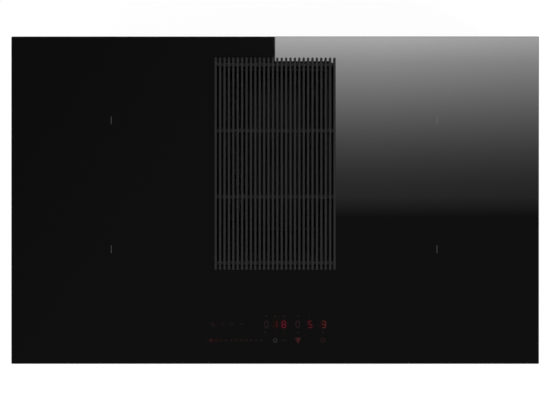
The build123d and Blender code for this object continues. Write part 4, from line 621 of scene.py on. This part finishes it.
galvanised, tree, shader = new_finish("galvanised_sheet")
wander = put(tree, "TexNoise", {"Vector": place_of(tree), "Scale": 60.0, "Detail": 2.0}).outputs["Color"]
wander = put(tree, "VectorMath", {0: wander, 1: (0.012, 0.012, 0.012)}, operation="MULTIPLY").outputs[0]
frond = put(tree, "VectorMath", {0: place_of(tree), 1: wander}, operation="ADD").outputs[0]
flower = put(tree, "TexVoronoi", {"Vector": frond, "Scale": 130.0}).outputs["Color"]
facet = put(tree, "SeparateColor", {0: flower}).outputs[0]
veil = noise(tree, place_of(tree), 0.12, 4.0)
tone = tint(tree, facet, (0.52, 0.53, 0.54, 1.0), (0.57, 0.58, 0.59, 1.0))
dull = between(tree, veil, 0.3, 0.7, 0.0, 0.30)
tone = tint(tree, dull, tone, (0.42, 0.43, 0.44, 1.0))
tree.links.new(tone, shader.inputs["Base Color"])
tree.links.new(between(tree, facet, 0.0, 1.0, 0.43, 0.49), shader.inputs["Roughness"])
tree.links.new(bumped(tree, veil, 0.00004), shader.inputs["Normal"])
shader.inputs["Metallic"].default_value = 1.0
dress(["base_tray", "coil_shelf_left", "coil_shelf_right", "motor_plate", "rotor_cup"], galvanised)

TRAY_Z0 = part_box("base_tray")[0].z
BEAD_HALF = 0.0065
BEAD_H = 0.0014
BEAD_BITE = 0.0002
ROW_STEP = 0.056
CENTRE_X = 0.190
CENTRE_REACH = 0.056
CENTRE_ROWS = (-0.168, -0.200)
LEFT_X0 = -0.372
LEFT_X1 = -0.132
INLET_X0 = -0.254
INLET_ROWS = (0.172, 0.204)


def bead(x0, x1, y):
    """Stiffening bead pressed down out of the tray's floor, from x0 to x1: its section is the
    square of a cosine, and over its last half width it narrows and flattens as a circle does.
    Its rim lies a bite inside the sheet."""
    turn = np.linspace(0, math.pi / 2, 6)
    run_in = BEAD_HALF * (1 - np.cos(turn))
    x = np.concatenate([x0 + run_in, x1 - run_in[::-1]])
    size = np.concatenate([np.sin(turn), np.sin(turn)[::-1]]).clip(0.03, 1)
    aside = np.linspace(1, -1, 13)
    grid = np.empty((len(x), len(aside), 3))
    grid[:, :, 0] = x[:, None]
    grid[:, :, 1] = y - BEAD_HALF * size[:, None] * aside[None, :]
    hump = size[:, None] * np.cos(aside * math.pi / 2) ** 2
    grid[:, :, 2] = TRAY_Z0 + BEAD_BITE - BEAD_H * hump
    return grid, "capped"


beads = [bead(LEFT_X0, LEFT_X1, row * ROW_STEP) for row in (-2, -1, 0, 1, 2)]
for x in (-CENTRE_X, CENTRE_X):
    beads += [bead(x - CENTRE_REACH, x + CENTRE_REACH, y) for y in CENTRE_ROWS]
beads += [bead(INLET_X0, LEFT_X1, y) for y in INLET_ROWS]
skin("tray_beads", beads, "cooktop", "sheet_steel", galvanised)

painted = moulded("painted_steel", (0.028, 0.028, 0.029), 0.0009, 0.42, 0.00004)
dress(["glass_frame"], painted)
spring = sheet_metal("clip_steel", (0.33, 0.33, 0.35), (0.46, 0.46, 0.47), 0.3, (1.0, 1.0, 0.08))
dress(["side_clips"], spring)
zinc = sheet_metal("zinc_plate", (0.48, 0.48, 0.47), (0.62, 0.61, 0.58), 0.3)
dress(["tray_screws", "housing_screws"], zinc)

# ---------------------------------------------------------------- chamber, plenum and casing
# Black talc-filled polypropylene mouldings with a fine eroded grain: the tub under the well,
# the flat duct that leads from it, and the two halves of the blower's casing.
BASE_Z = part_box("suction_chamber")[0].z
POCKET_DEEP = 0.0011
POCKET_DRAFT = 0.96
CUT_BELOW = 0.001
FIELD_CUT = 0.004
RIB_T = 0.0026


def pocket(outline):
    """Room for one pocket in a floor: the outline (x, y), anticlockwise from above, carried up
    from just below the base, with its upper rim drawn in to the outline's middle for draft."""
    low = np.asarray(outline, float)
    high = low.mean(axis=0) + (low - low.mean(axis=0)) * POCKET_DRAFT
    rims = [(low, BASE_Z - CUT_BELOW), (high, BASE_Z + POCKET_DEEP)]
    return np.stack([np.column_stack([rim, np.full(len(rim), z)]) for rim, z in rims]), "capped"


def soft_field(x0, x1, y0, y1):
    """Rectangle with cut corners, anticlockwise from above, half a rib inside its four bounds."""
    x0, x1, y0, y1 = x0 + RIB_T / 2, x1 - RIB_T / 2, y0 + RIB_T / 2, y1 - RIB_T / 2
    x = [x0 + FIELD_CUT, x1 - FIELD_CUT, x1, x1, x1 - FIELD_CUT, x0 + FIELD_CUT, x0, x0]
    y = [y0, y0, y0 + FIELD_CUT, y1 - FIELD_CUT, y1, y1, y1 - FIELD_CUT, y0 + FIELD_CUT]
    return np.column_stack([x, y])


def ring_field(centre, r0, r1, start, end):
    """Piece of a ring between two radii, half a rib short of both end angles."""
    arcs = []
    for r, first, last in ((r0, end, start), (r1, start, end)):
        trim = RIB_T / 2 / r * (1 if last > first else -1)
        turn = np.linspace(first + trim, last - trim, 8)
        arcs.append(np.column_stack([centre.x + r * np.cos(turn), centre.y + r * np.sin(turn)]))
    return np.concatenate(arcs)


def ribbed_floor(node, name, fields, material):
    """Copy of a moulding whose floor is thinned by pockets, so that ribs stand between them."""
    work = bmesh.new()
    work.from_mesh(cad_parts[node].data)
    bmesh.ops.remove_doubles(work, verts=work.verts, dist=1e-6)
    mesh = bpy.data.meshes.new(name)
    work.to_mesh(mesh)
    work.free()
    mesh.attributes.remove(mesh.attributes["custom_normal"])
    rooms = shell(name + "_rooms", [pocket(field) for field in fields])
    made = mount(name, combined(mesh, rooms, "DIFFERENCE"), "cooktop", material)
    crisp(made)
    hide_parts(node)


duct_black = moulded("duct_black", (0.040, 0.040, 0.043), 0.0006, 0.5, 0.00004)
dress(["plenum_duct", "scroll_cover"], duct_black)

TUB_HALF_X = 0.087
TUB_HALF_Y = 0.157
TUB_FIELDS = (4, 7)
rib_x = np.linspace(-TUB_HALF_X, TUB_HALF_X, TUB_FIELDS[0] + 1)
rib_y = WELL_Y + np.linspace(-TUB_HALF_Y, TUB_HALF_Y, TUB_FIELDS[1] + 1)
tub_fields = [
    soft_field(x0, x1, y0, y1)
    for x0, x1 in zip(rib_x[:-1], rib_x[1:])
    for y0, y1 in zip(rib_y[:-1], rib_y[1:])
]
ribbed_floor("suction_chamber", "tub", tub_fields, duct_black)

SPOKES = 12
HUB_R = 0.030
RIB_R = 0.060
RIM_R = 0.090
spoke = 2 * math.pi / SPOKES
wheel = middle("impeller")
scroll_fields = [
    ring_field(wheel, r0, r1, i * spoke, (i + 1) * spoke)
    for r0, r1 in ((HUB_R, RIB_R - RIB_T / 2), (RIB_R + RIB_T / 2, RIM_R))
    for i in range(SPOKES)
]
ribbed_floor("scroll_housing", "scroll_casing", scroll_fields, duct_black)
dress(["chamber_gasket", "plenum_gasket", "motor_grommets"], black_rubber)

# ---------------------------------------------------------------- blower
# A pale glass-filled wheel is pressed on the rotor cup; the cup carries a ring magnet round
# the varnished stator, and its ground shaft runs in two ball bearings.
wheel_white = moulded("wheel_white", (0.52, 0.52, 0.50), 0.0008, 0.48)
dress(["impeller"], wheel_white)
steel_deep, steel_pale = (0.52, 0.52, 0.52), (0.62, 0.62, 0.62)
ground_steel = sheet_metal("ground_steel", steel_deep, steel_pale, 0.18, (0.1, 0.1, 1.0), 0.0008)
dress(["motor_shaft", "motor_bearings"], ground_steel)
magnet_black = moulded("magnet_black", (0.045, 0.044, 0.044), 0.001, 0.6)
dress(["rotor_magnet"], magnet_black)
stack_deep, stack_pale = (0.09, 0.08, 0.07), (0.16, 0.14, 0.12)
varnished = sheet_metal("varnished_stack", stack_deep, stack_pale, 0.4, (0.02, 0.02, 1.0), 0.0006)
dress(["motor_stator"], varnished)

# ---------------------------------------------------------------- induction zones
# Lacquered copper wire wound flat on an aluminium carrier, with ferrite bars below it, a mica
# sheet above it, a sensor in its eye, and silicone blocks that press it up to the glass.
ZONES = ("front_left", "front_right", "rear_left", "rear_right")
WIRE_PITCH = 0.0026
WIRE_PAINTED_SHADE = (0.16, 0.055, 0.022, 1.0)
WIRE_PAINTED_HIGHLIGHT = (0.60, 0.26, 0.12, 1.0)


def wound(name, x, y):
    """Flat winding about (x, y): rings of wire, with a painted highlight along each turn's crown
    and painted shade between the turns.
    """
    material, tree, shader = new_finish(name)
    place = place_of(tree, (1.0, 1.0, 0.0), (x, y, 0.0))
    radius = put(tree, "VectorMath", {0: place}, operation="LENGTH").outputs["Value"]
    turns = reckon(tree, "MULTIPLY", radius, 2 * math.pi / WIRE_PITCH)
    crown = between(tree, reckon(tree, "SINE", turns), -1.0, 1.0, 0.0, 1.0)
    # Painted highlight and shade: the wire's colour is lighter on each crown and darker between turns.
    tree.links.new(tint(tree, crown, WIRE_PAINTED_SHADE, WIRE_PAINTED_HIGHLIGHT), shader.inputs["Base Color"])
    tree.links.new(between(tree, crown, 0.0, 1.0, 0.5, 0.28), shader.inputs["Roughness"])
    tree.links.new(bumped(tree, crown, 0.0010), shader.inputs["Normal"])
    shader.inputs["Metallic"].default_value = 0.85
    return material


for zone in ZONES:
    eye = middle(f"coil_winding_{zone}")
    dress([f"coil_winding_{zone}"], wound(f"winding_{zone}", eye.x, eye.y))
mill = sheet_metal("mill_aluminium", (0.66, 0.66, 0.67), (0.78, 0.78, 0.79), 0.36, (0.06, 1.0, 1.0))
dress([f"coil_carrier_{zone}" for zone in ZONES], mill)
dress(["heat_sink_left", "heat_sink_right"], mill)
dress(["ferrite_bars"], moulded("ferrite_grey", (0.045, 0.045, 0.05), 0.0009, 0.7))
mica, tree, shader = new_finish("mica_sheet")
flakes = put(tree, "TexVoronoi", {"Vector": place_of(tree), "Scale": 260.0}).outputs["Color"]
flake = put(tree, "SeparateColor", {0: flakes}).outputs[0]
mica_deep, mica_pale = (0.42, 0.37, 0.27, 1.0), (0.66, 0.61, 0.50, 1.0)
tree.links.new(tint(tree, flake, mica_deep, mica_pale), shader.inputs["Base Color"])
tree.links.new(between(tree, flake, 0.0, 1.0, 0.3, 0.6), shader.inputs["Roughness"])
dress(["mica_sheets"], mica)
dress(["coil_buffers"], rubber("red_silicone", (0.35, 0.055, 0.03)))
black_resin = moulded("black_resin", (0.02, 0.02, 0.021), 0.0005, 0.4)
dress(["temperature_sensors", "power_transistors"], black_resin)

# ---------------------------------------------------------------- electronics
# Lacquered boards lie in plastic trays on the floor of the tray, with aluminium heat sinks in
# the air stream of two small fans, film capacitors, and the mains filter by the terminals.
board, tree, shader = new_finish("lacquered_board")
layout = {"Vector": place_of(tree), "Scale": 140.0}
tracks = put(tree, "TexVoronoi", layout, distance="CHEBYCHEV").outputs["Distance"]
copper = between(tree, tracks, 0.28, 0.34, 0.0, 1.0)
lacquer, track_green = (0.012, 0.10, 0.045, 1.0), (0.03, 0.19, 0.09, 1.0)
tree.links.new(tint(tree, copper, lacquer, track_green), shader.inputs["Base Color"])
tree.links.new(between(tree, copper, 0.0, 1.0, 0.3, 0.2), shader.inputs["Roughness"])
tree.links.new(bumped(tree, copper, 0.00006), shader.inputs["Normal"])
dress(["power_board_left", "power_board_right", "control_board", "mains_filter_board"], board)
case_grey = moulded("case_grey", (0.15, 0.15, 0.155), 0.0006, 0.5)
dress(["board_tray_left", "board_tray_right", "control_housing", "terminal_cover"], case_grey)
dress(["board_capacitors"], moulded("capacitor_case", (0.33, 0.33, 0.32), 0.0006, 0.3))
fan_black = moulded("fan_black", (0.028, 0.028, 0.028), 0.0005, 0.42)
dress(["fan_housing_left", "fan_housing_right", "fan_rotor_left", "fan_rotor_right"], fan_black)
dress(["cable_gland"], fan_black)
dress(["terminal_block"], moulded("terminal_ivory", (0.55, 0.54, 0.50), 0.0006, 0.4))
dress(["display_modules"], moulded("smoked_lens", (0.05, 0.012, 0.012), 0.001, 0.15))
dress(["touch_contacts"], rubber("contact_foam", (0.03, 0.03, 0.032), 0.0005))

# ---------------------------------------------------------------- stage
# A white floor under the cooktop, three soft boxes round it, a dim ceiling, and over the right
# half a shaded card that shows in reflections only, bright at the rear and fading to the front.
FLOOR_GAP = 0.0006
FLOOR_REACH = 8.0


def flat_stage(name, x0, x1, y0, y1, z, material, down=False):
    """A level rectangle that faces up, or down."""
    corners = [(x0, y0, z), (x1, y0, z), (x1, y1, z), (x0, y1, z)]
    mesh = bpy.data.meshes.new(name)
    mesh.from_pydata(corners, [], [(3, 2, 1, 0) if down else (0, 1, 2, 3)])
    mesh.materials.append(material)
    made = bpy.data.objects.new(name, mesh)
    bpy.context.scene.collection.objects.link(made)
    return made


def blank(thing):
    """Node tree of a stage material or of the world, emptied."""
    thing.use_nodes = True
    thing.node_tree.nodes.clear()
    return thing.node_tree


def ray(tree, kind):
    """1 on rays of that kind, and 0 on all others."""
    return put(tree, "LightPath").outputs[f"Is {kind} Ray"]


def glowing(tree, strength):
    """White light of that strength."""
    return put(tree, "Emission", {"Color": grey(1.0), "Strength": strength}).outputs[0]


white_floor = bpy.data.materials.new("white_floor")
tree = blank(white_floor)
direct = put(tree, "BsdfDiffuse", {"Color": grey(0.16)}).outputs[0]
seen = put(tree, "AddShader", {0: direct, 1: glowing(tree, 0.912)}).outputs[0]
plain = put(tree, "BsdfDiffuse", {"Color": grey(0.8)}).outputs[0]
shiny = reckon(tree, "MAXIMUM", ray(tree, "Glossy"), ray(tree, "Transmission"))
unseen = put(tree, "MixShader", {0: shiny, 1: plain, 2: glowing(tree, 1.0)}).outputs[0]
upper = put(tree, "MixShader", {0: ray(tree, "Camera"), 1: unseen, 2: seen}).outputs[0]
under_side = put(tree, "NewGeometry").outputs["Backfacing"]
clear = put(tree, "BsdfTransparent").outputs[0]
all_rays = put(tree, "MixShader", {0: under_side, 1: upper, 2: clear}).outputs[0]
put(tree, "OutputMaterial", {0: all_rays})
reach = (-FLOOR_REACH, FLOOR_REACH)
flat_stage("floor", *reach, *reach, BASE_Z - FLOOR_GAP, white_floor)

# The card's mirror image starts at GLOW_FRONT on the glass and runs off its rear edge. What the
# camera sees mirrored at a place on the glass lies on the card at that place times the stretch.
CAMERA_H = 2.4025
CARD_H = 1.2
GLOW_FRONT = -0.0281
STRETCH = 1 + CARD_H / CAMERA_H
CARD_FRONT = GLOW_FRONT * STRETCH
CARD_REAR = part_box("glass_top")[1].y * STRETCH
CARD_END = 0.42
CARD_RIGHT = 0.8
card_light = bpy.data.materials.new("card_light")
tree = blank(card_light)
spot = put(tree, "SeparateXYZ", {0: put(tree, "TexCoord").outputs["Object"]})
rise = between(tree, spot.outputs["Y"], CARD_FRONT, CARD_REAR, 0.0, 1.0)
slope = reckon(tree, "MULTIPLY", reckon(tree, "POWER", rise, 2.4), 8.4)
foot = between(tree, rise, 0.0, 0.12, 0.09, 0.40)
rear = between(tree, rise, 0.86, 1.0, 0.0, 1.05)
glow = reckon(tree, "ADD", reckon(tree, "ADD", slope, foot), rear)
fade = between(tree, spot.outputs["X"], 0.25, 0.62, 1.0, 0.87)
put(tree, "OutputMaterial", {0: glowing(tree, reckon(tree, "MULTIPLY", glow, fade))})
card_place = (0.0, CARD_RIGHT, CARD_FRONT, CARD_END, GLASS_Z1 + CARD_H)
card = flat_stage("card", *card_place, card_light, down=True)
card.visible_camera = False
card.visible_diffuse = False
card.visible_transmission = False
card.visible_shadow = False

# Polished surfaces mirror a room that is bright all round and dim overhead, a little lighter to
# the front right. All else is lit by an even grey room, and the camera sees white.
CEILING = (0.068, 0.0985)
LEAN = (6.0, -3.75, 0.0)
ROOM = 0.42
world = bpy.data.worlds.new("studio")
bpy.context.scene.world = world
tree = blank(world)
aim = put(tree, "TexCoord").outputs["Generated"]
up = put(tree, "SeparateXYZ", {0: aim}).outputs["Z"]
side_on = reckon(tree, "POWER", between(tree, up, 0.0, 1.0, 1.0, 0.0), 2.2)
lean = put(tree, "VectorMath", {0: aim, 1: LEAN}, operation="DOT_PRODUCT").outputs["Value"]
overhead = between(tree, lean, -1.34, -0.34, *CEILING)
mirrored = between(tree, side_on, 0.0, 1.0, overhead, 1.0)
shiny = reckon(tree, "MAXIMUM", ray(tree, "Glossy"), ray(tree, "Transmission"))
level = put(tree, "Mix", {0: shiny, 2: ROOM, 3: mirrored}, data_type="FLOAT").outputs[0]
level = put(tree, "Mix", {0: ray(tree, "Camera"), 2: level, 3: 1.0}, data_type="FLOAT").outputs[0]
backdrop = put(tree, "Background", {"Color": grey(1.0), "Strength": level}).outputs[0]
put(tree, "OutputWorld", {0: backdrop})


def soft_box(name, at, size, power):
    """Square area lamp at that place, aimed at the middle of the glass."""
    data = bpy.data.lights.new(name, "AREA")
    data.size = size
    data.energy = power
    made = bpy.data.objects.new(name, data)
    bpy.context.scene.collection.objects.link(made)
    made.location = at
    made.rotation_euler = Vector(at).to_track_quat("Z", "Y").to_euler()


soft_box("box_left", (-1.5, -1.1, 1.5), 0.9, 20.0)
soft_box("box_right", (1.5, -1.1, 1.5), 0.9, 20.0)
soft_box("box_rear", (0.0, 1.8, 1.4), 0.9, 9.0)

# The camera hangs over the middle of the glass, within half a millimetre, and looks straight down.
CAMERA_X = -0.0002
CAMERA_Y = 0.0003
camera_data = bpy.data.cameras.new("camera")
camera_data.sensor_width = 36.0
camera_data.lens = 100.0
camera = bpy.data.objects.new("camera", camera_data)
bpy.context.scene.collection.objects.link(camera)
camera.location = (CAMERA_X, CAMERA_Y, GLASS_Z1 + CAMERA_H)
bpy.context.scene.camera = camera
bpy.context.scene.view_settings.view_transform = "Standard"
